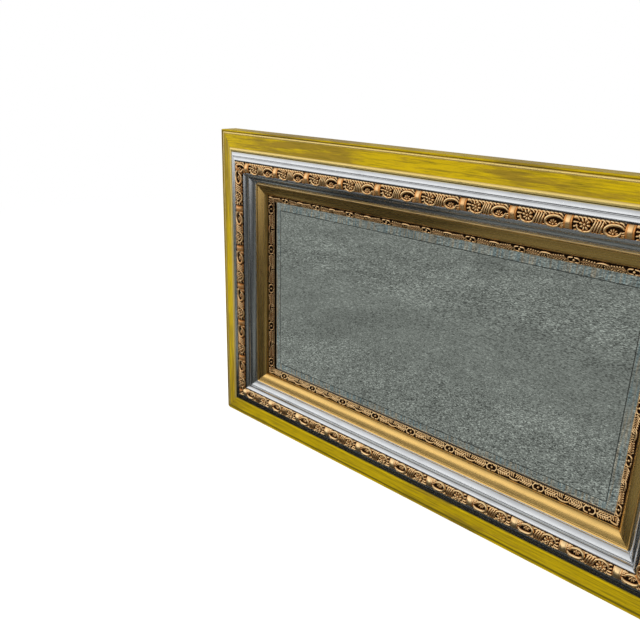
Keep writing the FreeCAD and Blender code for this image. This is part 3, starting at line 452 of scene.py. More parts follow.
def speckled_board(tree, shade, rough, grain, relief):
    """Pressed board, felt or rubber: an even tone broken by fine fibres or pores."""
    shade = getattr(colours(), shade)
    place = add_node(tree, "TexCoord", output="Object")
    fibres = add_node(tree, "TexNoise", place, {"Scale": grain, "Detail": 5, "Roughness": 0.7})
    blotches = add_node(tree, "TexNoise", place, {"Scale": grain / 40, "Detail": 2})
    both = add_node(tree, "Math", fibres, blotches, operation="ADD")
    tone = add_node(tree, "MapRange", both, 0.6, 1.4)
    mottled = add_node(tree, "ValToRGB", tone, stops=[(0, tinted(shade, 0.74)), (1, tinted(shade, 1.22))])
    normal = add_node(tree, "Bump", {"Height": fibres, "Distance": relief})
    return {"Base Color": mottled, "Roughness": rough, "Normal": normal}


def plated_steel(tree, shade, rough):
    """Steel strip or wire with a thin zinc coat: grey, faintly spangled and half bright."""
    shade = getattr(colours(), shade)
    place = add_node(tree, "TexCoord", output="Object")
    # Zinc spangles on small hardware are about 1.5 mm across.
    spangles = add_node(tree, "TexVoronoi", place, {"Scale": 650}, output="Distance")
    clouds = add_node(tree, "TexNoise", place, {"Scale": 140, "Detail": 4})
    tone = add_node(tree, "ValToRGB", clouds, stops=[(0.3, tinted(shade, 0.8)), (0.65, shade)])
    gloss = add_node(tree, "MapRange", spangles, 0, 1, rough - 0.06, rough + 0.1)
    normal = add_node(tree, "Bump", {"Height": clouds, "Distance": 0.03 * MM})
    return {"Base Color": tone, "Metallic": 1, "Roughness": gloss, "Normal": normal}


# Dark lines on the leaf, as (share across the face, half width, strength): partly glaze left in the quirks, partly
# painted shade; the wide lines where the silver meets the large ornament, and the gold the small one, are painted
# shadow.
SILVER_QUIRKS = (
    (0.006, 0.012, 0.6), (0.138, 0.01, 0.7), (0.17, 0.01, 0.7), (0.291, 0.016, 1),
    (0.664, 0.026, 1), (0.772, 0.01, 0.7), (0.806, 0.01, 0.7),
)
GOLD_QUIRKS = ((0.071, 0.008, 0.7), (0.61, 0.012, 0.9), (0.65, 0.05, 1), (1, 0.02, 1))

FINISHES = {
    "brushed_green_glaze_over_gold": (brushed_green_glaze,),
    # Cool and nearly clean, with grey glaze and painted shade in the quirks
    "burnished_silver_leaf": (burnished_leaf, "reeded", "silver", "silver_dark", 0.9, 0.21, SILVER_QUIRKS),
    # Warm and a little softer, with brown glaze and painted shade where it meets the ornament
    "burnished_gold_leaf": (burnished_leaf, "liner", "gold", "gold_dark", 0.88, 0.25, GOLD_QUIRKS),
    # The small ornament is painted dark in more of its recesses than the large one, as glaze and painted shade, and
    # reaches its light colour sooner.
    "copper_gilt_composition": (gilt_composition, "copper", 0.39, 0.76),
    "sight_edge_gilt_composition": (gilt_composition, "copper_small", 0.46, 0.7),
    "silvered_float_glass": (silvered_glass,),
    # Wood fibre pressed smooth: half matt, with broad brown clouds
    "pressed_hardboard": (speckled_board, "hardboard", 0.55, 900, 0.08 * MM),
    # Grey pulp board: matt, with coarse flecks
    "grey_filler_board": (speckled_board, "grey_board", 0.85, 600, 0.1 * MM),
    # Moulded rubber: near black with a faint pore
    "black_rubber": (speckled_board, "rubber", 0.6, 1500, 0.05 * MM),
    # Wool pressed hard: no shine, and a fuzzy surface
    "pressed_felt": (speckled_board, "felt", 0.95, 1400, 0.4 * MM),
    "zinc_plated_steel": (plated_steel, "zinc", 0.32),
    # Bare drawn steel: darker and duller than the zinc
    "bright_nail_steel": (plated_steel, "steel", 0.38),
}


def finish(name):
    """The material of this name, made once."""
    if name not in bpy.data.materials:
        tree = new_material(name)[1]
        maker, *details = FINISHES[name]
        add_node(tree, "OutputMaterial", add_node(tree, "BsdfPrincipled", maker(tree, *details)))
    return bpy.data.materials[name]


# The four sides of the frame. A side's own axes are (along, -high, across). Rubbed sets the
# painted light on each side's outer moulding: gold painted on the beads as highlight and a thinner,
# darker field, most on the top, and dark painted shade at the outer bead's foot, most on the bottom.
# Wiped makes each side's ornament lighter or darker as painted light and shade, and corners is each
# end's share of the corners' radius.

Side = namedtuple("Side", "half turn place rubbed wiped corners")
SIDES = {
    "bottom": Side(HALF_LONG, 0, (0, -HALF_HIGH), 0, 0.16, (1, 1)),
    "right": Side(HALF_HIGH, -90, (HALF_LONG, 0), 0.3, 0, (1, 0.45)),
    "top": Side(HALF_LONG, 180, (0, HALF_HIGH), 1, -0.03, (0.45, 0.45)),
    "left": Side(HALF_HIGH, 90, (-HALF_LONG, 0), 0.85, -0.11, (0.45, 1)),
}


def seat_on_side(mesh, side):
    """Turn a mesh that was drawn on a side's own axes into its place in the frame."""
    x, z = SIDES[side].place
    turn = Matrix.Rotation(math.radians(SIDES[side].turn), 4, "Y")
    mesh.transform(Matrix.Translation((x, BACK_PLANE, z)) @ turn)


def new_object(name, data):
    item = bpy.data.objects.new(name, data)
    bpy.context.scene.collection.objects.link(item)
    return item


def evaluated_mesh(item, name):
    """An object's mesh with its modifiers worked in."""
    bpy.context.view_layer.update()
    mesh = bpy.data.meshes.new_from_object(item.evaluated_get(bpy.context.evaluated_depsgraph_get()))
    mesh.name = name
    return mesh


def add_piece(name, mesh, material, body, nodes, slot):
    """Show a finished mesh as a piece of the mirror that stands for some CAD nodes."""
    piece = new_object(name, mesh)
    mesh.materials.clear()
    mesh.materials.append(finish(material))
    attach(piece, body)
    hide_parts(*nodes)
    return piece


def dress_node(node, material):
    """Give a CAD node, whose shape is right as it is, its finish."""
    mesh = frame["nodes"][node].data
    mesh.materials.clear()
    mesh.materials.append(finish(material))


def smooth_mesh(mesh, degrees):
    mesh.shade_smooth()
    mesh.set_sharp_from_angle(angle=math.radians(degrees))


def closed_mesh(shape, name, degrees):
    """A mesh from edited faces: merged, pointing outwards and smooth up to an angle."""
    bmesh.ops.remove_doubles(shape, verts=shape.verts, dist=1e-6)
    bmesh.ops.recalc_face_normals(shape, faces=shape.faces)
    mesh = bpy.data.meshes.new(name)
    shape.to_mesh(mesh)
    shape.free()
    smooth_mesh(mesh, degrees)
    return mesh


def skin(shape, rings):
    """Join rings of vertices into a closed tube."""
    for first, second in zip(rings, rings[1:]):
        for index in range(len(first)):
            following = (index + 1) % len(first)
            shape.faces.new((first[index], first[following], second[following], second[index]))
    shape.faces.new(rings[0])
    shape.faces.new(list(reversed(rings[-1])))


# Moulding sections, as (across, rise, relief, bulge to the next point)

OUTER_FACE_SHARES = [
    # Rounded outer edge and lip, a groove and a bead
    (0, 0, -1.15, 0.207), (0.052, 0, 0, 0), (0.070, 0, -0.1, 0),
    (0.099, 0, -1.6, 0), (0.113, 0, -0.7, 0.28), (0.2, 0, -0.2, 0),
    # Wide field, very slightly hollow, and the inner bead
    (0.206, 0, -0.45, -0.03), (0.836, 0.92, 0, 0),
    (0.846, 0.92, 0.3, 0.27), (0.985, 1, 0.35, 0), (1, 1, 0.15, 0),
]
REEDED_OUTER_SHARES = [
    # Broad reed, quirk and narrow reed, climbing to the ornament
    (0.006, 0, 0, 0.17), (0.15, 0.8, 0, 0), (0.155, 0.8, 0, 0.16), (0.295, 1, 0.72, 0),
]
REEDED_INNER_SHARES = [
    # Narrow reed, quirk, broad reed and a flat, falling from the ornament
    (0.675, 1, 0.1, 0.16), (0.786, 0.57, 0, 0), (0.792, 0.53, 0, 0.14), (0.962, 0.03, 0, 0), (1, 0, 0, 0),
]
LINER_FACE_SHARES = [
    # Sloping fillet, then a flat that rounds over and curls down to the small ornament
    (0.005, 1, -0.1, 0.04), (0.066, 0.888, 0, 0), (0.072, 0.8, 0, 0.0055),
    (0.312, 0.659, 0, 0.026), (0.484, 0.501, 0, 0.1), (0.605, 0.16, 0, 0), (0.62, 0.06, 0, 0),
]
STRIP_BED_SHARE = 0.295
SIGHT_BED_SHARES = (0.630, 0.975)
SIGHT_STRIP_SHARES = (0.03, 1.04)


class Heights:
    """Heights of the mouldings' edges, stepping outwards from the glass."""

    def __init__(self):
        size = sizes()
        self.sight_bed = size.sight_edge_high + size.sight_bed_rise
        self.liner = self.sight_bed + size.liner_rise
        self.reeded_end = self.liner - size.fillet_stand
        self.bed = self.reeded_end + size.inner_slope_rise
        self.reeded_start = self.bed - size.outer_slope_rise
        self.outer_lap = self.reeded_start - size.lap_thick
        self.liner_lap = self.reeded_end - size.lap_thick * 0.9


def face_points(shares, span, base, rise):
    start, wide = span
    relief = sizes().bead_relief
    return [(start + wide * across, base + rise * up + relief * small, bulge) for across, up, small, bulge in shares]


def tongue_points(start, lap_high):
    """The tongue that lies under the lap of the next moulding out."""
    back = start - sizes().lap + FACE_GAP
    high = lap_high - FACE_GAP
    return [(back, 0, 0), (back, high, 0), (start + FACE_GAP, high, 0)]


def lap_points(end, lap_high):
    """The lap over the next moulding in, and the back below it."""
    back = end - sizes().lap
    return [(end, lap_high, 0), (back, lap_high, 0), (back, 0, 0)]


def arc_between(start, end, bulge):
    """Points on the arc that rises bulge times its chord, without its two ends."""
    if not bulge:
        return []
    start = Vector(start)
    end = Vector(end)
    chord = end - start
    half_angle = 2 * math.atan(2 * abs(bulge))
    radius = chord.length / (2 * math.sin(half_angle))
    left = Vector((-chord.y, chord.x)).normalized() * math.copysign(1, bulge)
    middle = (start + end) / 2 + left * (abs(bulge) * chord.length - radius)
    steps = max(4, math.ceil(half_angle / math.radians(4)))
    spreads = [half_angle * (2 * step / steps - 1) for step in range(1, steps)]
    ahead = chord.normalized() * radius
    return [tuple(middle + left * radius * math.cos(spread) + ahead * math.sin(spread)) for spread in spreads]


def eased_outline(corners):
    """Turn (across, high, bulge) corners into a fine outline whose outer corners are eased."""
    ease = sizes().edge_ease
    run = []
    for (across, high, bulge), following in zip(corners, corners[1:] + corners[:1]):
        run.append(((across, high), True))
        run += [(point, False) for point in arc_between((across, high), following[:2], bulge)]
    outline = []
    for index, (point, corner) in enumerate(run):
        before = Vector(run[index - 1][0]) - Vector(point)
        after = Vector(run[(index + 1) % len(run)][0]) - Vector(point)
        turn = before.angle_signed(after) if before.length and after.length else math.pi
        outwards = math.radians(20) < turn < math.radians(160)
        if not corner or not outwards:
            outline.append(point)
            continue
        near = Vector(point) + before.normalized() * min(ease, before.length * 0.45)
        far = Vector(point) + after.normalized() * min(ease, after.length * 0.45)
        for share in (0, 0.25, 0.5, 0.75, 1):
            bent = near * (1 - share) ** 2 + Vector(point) * 2 * share * (1 - share) + far * share**2
            outline.append(tuple(bent))
    return outline


def outer_section():
    size = sizes()
    face = face_points(OUTER_FACE_SHARES, face_span("outer"), size.outer_edge_high, size.field_rise)
    return face + lap_points(size.outer_face, Heights().outer_lap) + [(0, 0, 0)]


def reeded_section():
    size = sizes()
    high = Heights()
    span = face_span("reeded")
    start, wide = span
    bed_near = start + wide * STRIP_BED_SHARE
    bed_far = bed_near + size.ornament_wide + 2 * BED_MARGIN
    return (
        tongue_points(start, high.outer_lap)
        + face_points(REEDED_OUTER_SHARES, span, high.reeded_start, size.outer_slope_rise)
        + [(bed_near, high.bed, 0), (bed_far, high.bed, 0)]
        + face_points(REEDED_INNER_SHARES, span, high.reeded_end, size.inner_slope_rise)
        + lap_points(start + wide, high.liner_lap)
    )


def sight_bed_spot(share):
    """A point of the small ornament's bed, as (across, high), a share of the way along it."""
    start, wide = face_span("liner")
    first, last = SIGHT_BED_SHARES
    across = start + wide * (first + (last - first) * share)
    return Vector((across, Heights().sight_bed - sizes().sight_bed_rise * share))


def liner_section():
    size = sizes()
    high = Heights()
    span = face_span("liner")
    seat = size.sight_edge_high - SIGHT_EDGE_THICK
    rabbet = MEMBER_WIDE - GLASS_RABBET
    return (
        tongue_points(span[0], high.liner_lap)
        + face_points(LINER_FACE_SHARES, span, high.sight_bed, size.liner_rise)
        + [(*sight_bed_spot(0), 0), (*sight_bed_spot(1), 0)]
        + [(MEMBER_WIDE, size.sight_edge_high, 0), (MEMBER_WIDE, seat, 0), (rabbet, seat, 0), (rabbet, 0, 0)]
    )


def moulding_mesh(name, side, outline, corner_round):
    """Run an outline along a side, mitre both ends and rub down the frame's outer corner."""
    shape = bmesh.new()
    rings = []
    for end, share in zip((-1, 1), SIDES[side].corners):
        radius = corner_round * share
        nearest = radius * (1 - math.sqrt(0.5))
        reaches = [nearest + (radius - nearest) * step for step in (0, 0.15, 0.35, 0.6, 1)]
        for from_end in reaches[::-end]:
            inset = max(radius - from_end, 0)
            rounding = radius - math.sqrt(radius**2 - inset**2)
            ring = []
            for across, high in outline:
                across = max(across, rounding)
                along = (SIDES[side].half - max(across, from_end)) * end
                ring.append(shape.verts.new((along, -high, across)))
            rings.append(ring)
    skin(shape, rings)
    mesh = closed_mesh(shape, name, 24)
    # Each side's rubbed share, from which the glaze paints that side's light and shade.
    rubbed = mesh.attributes.new("rubbed", "FLOAT", "POINT")
    rubbed.data.foreach_set("value", [SIDES[side].rubbed] * len(mesh.vertices))
    seat_on_side(mesh, side)
    return mesh


def build_mouldings(kind, node, section, material, slot, corner_round=0.0):
    outline = eased_outline(section)
    for side in SIDES:
        name = f"{kind}_moulding_{side}"
        mesh = moulding_mesh(name, side, outline, corner_round)
        add_piece(name, mesh, material, "frame", [f"{node}_{side}"], slot)


# Carved ornament. One repeat is a grid of heights over the strip's ground, in millimetres:
# along runs one repeat from knuckle to knuckle, across runs from the frame's outer edge inwards.

def smooth_path(knots, steps=5):
    """A soft run through (along, across, radius) knots."""
    knots = [np.array(knot, float) for knot in knots]
    knots = [2 * knots[0] - knots[1]] + knots + [2 * knots[-1] - knots[-2]]
    path = []
    for first, second, third, fourth in zip(knots, knots[1:], knots[2:], knots[3:]):
        for t in (step / steps for step in range(steps)):
            bend = (2 * first - 5 * second + 4 * third - fourth) * t**2
            swing = (3 * second - first - 3 * third + fourth) * t**3
            path.append(0.5 * (2 * second + (third - first) * t + bend + swing))
    path.append(knots[-2])
    return path


class Carving:
    """Heights of one repeat of an ornament, built up from rounded strokes, beads and pits."""

    def __init__(self, pitch, wide, along_cells, across_cells):
        self.pitch = pitch
        along = np.linspace(-pitch / 2, pitch / 2, along_cells + 1)
        across = np.linspace(-wide / 2, wide / 2, across_cells + 1)
        self.along, self.across = np.meshgrid(along, across, indexing="ij")
        self.height = np.zeros_like(self.along)

    def stroke(self, knots, rise):
        """Raise a rounded stroke along its knots; it is as high as its radius allows."""
        path = smooth_path(knots)
        for shift in (-self.pitch, 0, self.pitch):
            for start, end in zip(path, path[1:]):
                run = end[:2] - start[:2]
                reach = float(run @ run) or 1e-9
                near_along = self.along - shift - start[0]
                near_across = self.across - start[1]
                share = np.clip((near_along * run[0] + near_across * run[1]) / reach, 0, 1)
                radius = start[2] + share * (end[2] - start[2])
                away = (near_along - share * run[0]) ** 2 + (near_across - share * run[1]) ** 2
                round_top = np.sqrt(np.clip(1 - away / radius**2, 0, 1))
                np.maximum(self.height, np.minimum(rise, 1.35 * radius) * round_top, out=self.height)

    def bead(self, along, across, radius, rise):
        self.stroke([(along - 0.01, across, radius), (along + 0.01, across, radius)], rise)

    def pit(self, along, across, radius):
        """Sink a soft hole down to the ground."""
        for shift in (-self.pitch, 0, self.pitch):
            away = np.hypot(self.along - shift - along, self.across - across)
            self.height *= np.clip((away / radius - 0.55) / 0.45, 0, 1)

    def fan(self, along, across, inner, outer, first, last, count, rise, radius):
        """Petals that spread from a point, each swelling towards its tip."""
        for number in range(count):
            angle = math.radians(first + (last - first) * number / (count - 1))
            knots = [
                (along + math.cos(angle) * reach, across + math.sin(angle) * reach, radius * swell)
                for reach, swell in ((inner, 0.55), ((inner + outer) / 2, 0.9), (outer, 1))
            ]
            self.stroke(knots, rise)

    def glaze_and_painted_shade(self, reach):
        """Shares from 0 in a crevice to 1 on a crest, against the mean height within reach and lower near the
        ground, which the finish paints dark to light: glaze in the recesses, and painted shade and highlight.
        """
        rows = round(reach / (self.pitch / (self.height.shape[0] - 1)))
        columns = round(reach / (self.across[0, 1] - self.across[0, 0]))
        ring = self.height[:-1]
        mean = sum(np.roll(ring, row, axis=0) for row in range(-rows, rows + 1)) / (2 * rows + 1)
        padded = np.pad(np.vstack([mean, mean[:1]]), ((0, 0), (columns, columns)))
        count = self.height.shape[1]
        mean = sum(padded[:, column : column + count] for column in range(2 * columns + 1)) / (2 * columns + 1)
        crests = np.clip(0.5 + (self.height - mean) / 2.0, 0, 1)
        return crests * np.clip(0.15 + self.height / 1.1, 0, 1)

    def outline(self):
        """How far the carving reaches to each edge, column by column, with a soft run."""
        raised = self.height > 0.55
        low = np.where(raised, self.across, 99).min(axis=1)
        high = np.where(raised, self.across, -99).max(axis=1)
        limit = self.across[0, -1]
        sides = []
        for side in (np.clip(low, -limit, -limit * 0.72), np.clip(high, limit * 0.72, limit)):
            soft = sum(np.roll(side[:-1], row) for row in range(-2, 3)) / 5
            sides.append(np.append(soft, soft[0])[:, None])
        return sides


def large_repeat():
    """C-scroll with a shell in it, slanting ribs and a flower, between two knuckles."""
    size = sizes()
    carving = Carving(size.knuckle_pitch / MM, size.ornament_wide / MM, 168, 40)
    # Lobes of leaf along both edges
    for number in range(11):
        start = 9.5 + number * 7.3
        lobe = [(start, -6.4, 1.3), (start + 3.6, -9.6, 2.1), (start + 8.2, -10.6, 1.5)]
        carving.stroke(lobe, 2.7 - 0.5 * (number % 2))
        carving.stroke([(start - 1, 6.8, 1.3), (start + 2.4, 9.6, 2.0), (start + 6.8, 10.7, 1.5)], 1.3)
    # Leafy C-scroll that leaves the knuckle, turns back along the inner edge and cups a shell
    scroll = [
        (9.6, -2.6, 1.6), (14, -5.4, 2.3), (22, -6.6, 2.7), (31, -5.4, 2.8), (38, -0.8, 2.8),
        (38.6, 5.2, 2.9), (32.6, 9.4, 3.0), (24.5, 9.8, 2.8), (17, 7.6, 2.4), (13.4, 3.6, 1.9),
    ]
    carving.stroke(scroll, 3.4)
    carving.fan(25.5, 7.2, 1.0, 6.6, -165, -20, 5, 2.7, 1.45)
    carving.bead(25.5, 6.4, 2.2, 3.2)
    carving.fan(13, 9.6, 0, 3.4, 100, 250, 4, 2.4, 1.5)
    # Slanting ribs
    for number in range(4):
        start = 42.6 + number * 4.4
        rib = [(start, -8.6, 1.5), (start + 0.6, -4, 1.9), (start + 2.6, 2, 2.0), (start + 5.4, 8.6, 1.5)]
        carving.stroke(rib, 3.0 - 0.22 * number)
    # Flower: petals round an eye, cupped by a small scroll
    carving.fan(-28, -0.4, 3.4, 7.6, -190, 125, 8, 2.9, 2.05)
    carving.bead(-28, -0.4, 2.6, 3.3)
    cup = [
        (-40.6, 1.8, 1.5), (-38.6, 7, 2.0), (-32.5, 10, 2.5),
        (-24.6, 10.4, 2.5), (-17.6, 7.6, 2.2), (-14.6, 2, 1.7),
    ]
    carving.stroke(cup, 3.1)
    # Blades that lean against the knuckle
    for number in range(3):
        carving.stroke([(-16.5, -7.6 + 5.2 * number, 1.2), (-9.6 - 0.4 * number, -8.8 + 6.6 * number, 1.7)], 2.6)
        carving.stroke([(8.6, 2.4 + 3.6 * number, 1.3), (14, 4.4 + 2.6 * number, 1.2)], 2.2)
    for along, across, radius in ((-21.6, 4.6, 1.3), (-34.6, 4.2, 1.4), (33.2, 2.2, 1.9), (18.4, 1.4, 1.7)):
        carving.pit(along, across, radius)
    carving.height *= size.ornament_relief / (3.4 * MM)
    return carving


def sight_strip_ends():
    return [sight_bed_spot(share) for share in SIGHT_STRIP_SHARES]


def small_repeat():
    """Beads with dark eyes, leaves that point away from them and a ribbed husk half way."""
    size = sizes()
    near, far = sight_strip_ends()
    pitch = size.sight_pitch / MM
    carving = Carving(pitch, (far - near).length / MM, 204, 30)
    half = pitch / 2
    carving.bead(0, 0, 2.5, 2.7)
    for way in (-1, 1):
        for edge in (-1, 1):
            cup = [(way * 2.4, edge * 5.8, 1.5), (way * 8.4, edge * 4.8, 1.6), (way * 11, edge * 0.2, 1.6)]
            carving.stroke(cup, 2.3)
        # Leaf with a rib on each side of its stem
        carving.stroke([(way * 13.5, 0.2, 1.4), (way * 24, -0.8, 1.3), (way * 35, 0.4, 1.1)], 2.5)
        for number in range(5):
            start = 14.5 + number * 4.6
            spread = 5.4 - 0.45 * number
            for edge in (-1, 1):
                carving.stroke([(way * start, edge * 1.2, 1), (way * (start + 3.9), edge * spread, 1.55)], 2.3)
        # Half of the husk: ribs towards the glass over a smooth crescent
        for number in range(3):
            start = half - 2.2 - number * 4.2
            carving.stroke([(way * start, 0.4, 1.1), (way * (start - 2.6), 5.4 - 0.5 * number, 1.45)], 2.4)
        crescent = [(half, -5.2, 1.9), (half - 7, -4.2, 1.7), (half - 13, -1.2, 1.1)]
        carving.stroke([(way * along, across, radius) for along, across, radius in crescent], 2.6)
        # Scallops along the edge at the glass
        for number in range(int(half / 3.6)):
            start = half - 1.8 - number * 3.6
            carving.stroke([(way * start, 6.2, 1.1), (way * (start - 1.4), 7.6, 1.35)], 2.0)
    carving.height *= size.sight_relief / (2.7 * MM)
    return carving


def tile_mesh(name, along, across, high, relief):
    """A closed strip of mesh from grids of places, open at both ends."""
    rows, columns = relief.shape
    places = np.stack([along, -high, across], axis=-1).reshape(-1, 3)
    faces = []
    for row in range(rows - 1):
        first = row * columns
        second = first + columns
        for column in range(columns - 1):
            faces.append((first + column, first + column + 1, second + column + 1, second + column))
        faces.append((first + columns - 1, first, second, second + columns - 1))
    mesh = bpy.data.meshes.new(name)
    mesh.from_pydata([tuple(place) for place in places], [], faces)
    # The relief attribute carries each point's share from dark to light: glaze, and painted shade and highlight.
    shade = mesh.attributes.new("relief", "FLOAT", "POINT")
    shade.data.foreach_set("value", relief.reshape(-1).astype(np.float32))
    return mesh


def large_tile():
    """One repeat of the large ornament, wrapped over its arched ground and trimmed to its outline."""
    size = sizes()
    carving = large_repeat()
    half = size.ornament_wide / 2 / MM
    arch = size.ornament_arch / MM
    from_knuckle = np.abs(carving.along)
    outer, inner = carving.outline()
    outer = np.where(from_knuckle[:, :1] < 9, -half, outer)
    inner = np.where(from_knuckle[:, :1] < 9, half, inner)
    trimmed = np.clip(carving.across, outer, inner)
    ground_round = (half**2 + arch**2) / (2 * arch)
    angle = trimmed / half * math.asin(half / ground_round)
    # The knuckle is a barrel about an axis that lies under the bed, with a collar on each side.
    knuckle_round = size.knuckle_round / MM
    axis_gap = (ground_round - arch) - (knuckle_round - size.knuckle_rise / MM)
    reach = np.sqrt(knuckle_round**2 - (axis_gap * np.sin(angle)) ** 2)
    barrel = axis_gap * np.cos(angle) + reach - ground_round
    profile_places = (0, 3.4, 4.4, 4.9, 5.5, 6.6, 7.4, 7.9, 8.3)
    profile_shares = (1, 0.95, 0.82, 0.58, 0.74, 0.74, 0.58, 0.25, 0)
    knuckle = np.interp(from_knuckle, profile_places, profile_shares)
    out = ground_round + np.maximum(carving.height, np.where(from_knuckle < 8.3, barrel * knuckle, 0))
    across = out * np.sin(angle)
    high = out * np.cos(angle) - (ground_round - arch)
    # Cells past the outline drop to the bed as the ornament's side.
    high = np.where(np.abs(trimmed - carving.across) > 1e-6, 0, np.maximum(high, 0))
    high[:, [0, -1]] = 0
    # The knuckle is painted lighter along its middle and darker at its collars: a painted highlight and shade that
    # follow its profile.
    glaze_and_painted_shade = np.where(from_knuckle < 7.9, 0.12 + 0.6 * knuckle, carving.glaze_and_painted_shade(1.8))
    # Where the ornament drops to the bed it is painted darkest: painted shade at its sides.
    glaze_and_painted_shade = np.where(high <= 0, 0, glaze_and_painted_shade)
    middle = size.outer_face + size.reeded_face * STRIP_BED_SHARE + half * MM + BED_MARGIN
    # A repeat starts half way between two knuckles.
    high = Heights().bed + high * MM
    return tile_mesh("large_ornament_repeat", carving.along * MM, middle + across * MM, high, glaze_and_painted_shade)


def small_tile():
    """One repeat of the small ornament, laid on its slanting bed."""
    carving = small_repeat()
    near, far = sight_strip_ends()
    slope = (far - near).normalized()
    outwards = Vector((-slope.y, slope.x))
    half = (far - near).length / 2 / MM
    dome = 0.7 * (1 - (carving.across / half) ** 2)
    edge = np.clip((half - np.abs(carving.across)) / 0.7, 0, 1) ** 0.5
    raised = (carving.height * edge + dome) * MM
    middle = (near + far) / 2
    across = middle.x + carving.across * MM * slope.x + raised * outwards.x
    high = middle.y + carving.across * MM * slope.y + raised * outwards.y
    return tile_mesh("small_ornament_repeat", carving.along * MM, across, high, carving.glaze_and_painted_shade(1.3))


def new_geometry_tree(name, sockets, result):
    """A geometry nodes tree with named inputs; gives it and their sockets."""
    tree = bpy.data.node_groups.new(name, "GeometryNodeTree")
    for socket, kind in sockets.items():
        tree.interface.new_socket(name=socket, in_out="INPUT", socket_type=f"NodeSocket{kind}")
    tree.interface.new_socket(name=result, in_out="OUTPUT", socket_type="NodeSocketGeometry")
    return tree, add_node(tree, "NodeGroupInput", output="*")


def end_geometry_tree(tree, geometry, material):
    """End a tree in its material, which the export needs."""
    painted = add_node(tree, "GeometryNodeSetMaterial", {"Geometry": geometry, "Material": material})
    add_node(tree, "NodeGroupOutput", painted)
    return tree


def repeat_tree():
    """Geometry nodes that lay a mesh end to end along X."""
    sockets = {"Repeat": "Geometry", "Count": "Int", "Start": "Vector", "Pitch": "Vector", "Finish": "Material"}
    tree, given = new_geometry_tree("Ornament repeats", sockets, "Strip")
    run = {"Count": given["Count"], "Start Location": given["Start"], "Offset": given["Pitch"]}
    line = add_node(tree, "GeometryNodeMeshLine", run)
    placed = add_node(tree, "GeometryNodeInstanceOnPoints", {"Points": line, "Instance": given["Repeat"]})
    real = add_node(tree, "GeometryNodeRealizeInstances", placed)
    joined = add_node(tree, "GeometryNodeMergeByDistance", real, {"Distance": 0.01 * MM})
    return end_geometry_tree(tree, joined, given["Finish"])


def bake(carrier, tree, inputs, name):
    """Run a geometry nodes tree on an object and keep its result as a plain mesh."""
    modifier = carrier.modifiers.new("Geometry", "NODES")
    modifier.node_group = tree
    named = {item.name: item.identifier for item in tree.interface.items_tree if item.in_out == "INPUT"}
    for socket, value in inputs.items():
        modifier[named[socket]] = value
    mesh = evaluated_mesh(carrier, name)
    bpy.data.objects.remove(carrier)
    return mesh


def mitre_ends(mesh, half):
    """Cut both ends of a strip at 45 degrees and close them."""
    shape = bmesh.new()
    shape.from_mesh(mesh)
    for way in (-1, 1):
        everything = [*shape.verts, *shape.edges, *shape.faces]
        plane = {"plane_co": (half * way, 0, 0), "plane_no": (way, 0, 1)}
        cut = bmesh.ops.bisect_plane(shape, geom=everything, clear_outer=True, **plane)
        rim = [item for item in cut["geom_cut"] if isinstance(item, bmesh.types.BMEdge)]
        bmesh.ops.holes_fill(shape, edges=rim, sides=0)
    bmesh.ops.recalc_face_normals(shape, faces=shape.faces)
    shape.to_mesh(mesh)
    shape.free()


def build_ornament(kind, node, tile, pitch, shifts, material, slot):
    """Lay repeats along each side, mitre them and show them in place of the plain strips."""
    tree = repeat_tree()
    for side, layout in SIDES.items():
        name = f"{kind}_ornament_{side}"
        per_half = math.ceil(layout.half / pitch + 0.5)
        inputs = {
            "Count": 2 * per_half + 1,
            "Start": (shifts.get(side, 0) - per_half * pitch, 0, 0),
            "Pitch": (pitch, 0, 0),
            "Finish": finish(material),
        }
        mesh = bake(new_object("ornament_carrier", tile), tree, inputs, name)
        # Each side's ornament is painted lighter or darker by its wiped share: painted light and shade, lighter on
        # the bottom, darker on the top and left.
        shade = mesh.attributes["relief"].data
        glaze_and_painted_shade = np.empty(len(shade), np.float32)
        shade.foreach_get("value", glaze_and_painted_shade)
        shade.foreach_set("value", np.where(glaze_and_painted_shade > 0.1, glaze_and_painted_shade + layout.wiped, glaze_and_painted_shade))
        mitre_ends(mesh, layout.half)
        mesh.shade_smooth()
        seat_on_side(mesh, side)
        add_piece(name, mesh, material, "frame", [f"{node}_{side}"], slot)


# Back fittings

def loose_boxes(node):
    """Lowest and highest corner of each separate solid of a CAD node."""
    solids = bmesh.new()
    solids.from_mesh(frame["nodes"][node].data)
    bmesh.ops.remove_doubles(solids, verts=solids.verts, dist=1e-6)
    waiting = set(solids.verts)
    boxes = []
    while waiting:
        found = [waiting.pop()]
        for vertex in found:
            others = {edge.other_vert(vertex) for edge in vertex.link_edges} & waiting
            waiting -= others
            found += others
        places = np.array([tuple(vertex.co) for vertex in found])
        boxes.append((Vector(places.min(0)), Vector(places.max(0))))
    solids.free()
    return sorted(boxes, key=lambda box: (round(box[0].x, 4), round(box[0].z, 4)))


def turned_mesh(name, profile, steps):
    """Turn a (radius, out) profile about Y; out runs towards the wall."""
    shape = bmesh.new()
    line = [shape.verts.new((radius, out, 0)) for radius, out in profile]
    edges = [shape.edges.new(pair) for pair in zip(line, line[1:])]
    about = {"cent": (0, 0, 0), "axis": (0, 1, 0), "angle": 2 * math.pi}
    bmesh.ops.spin(shape, geom=[*line, *edges], steps=steps, use_merge=True, **about)
    return closed_mesh(shape, name, 35)


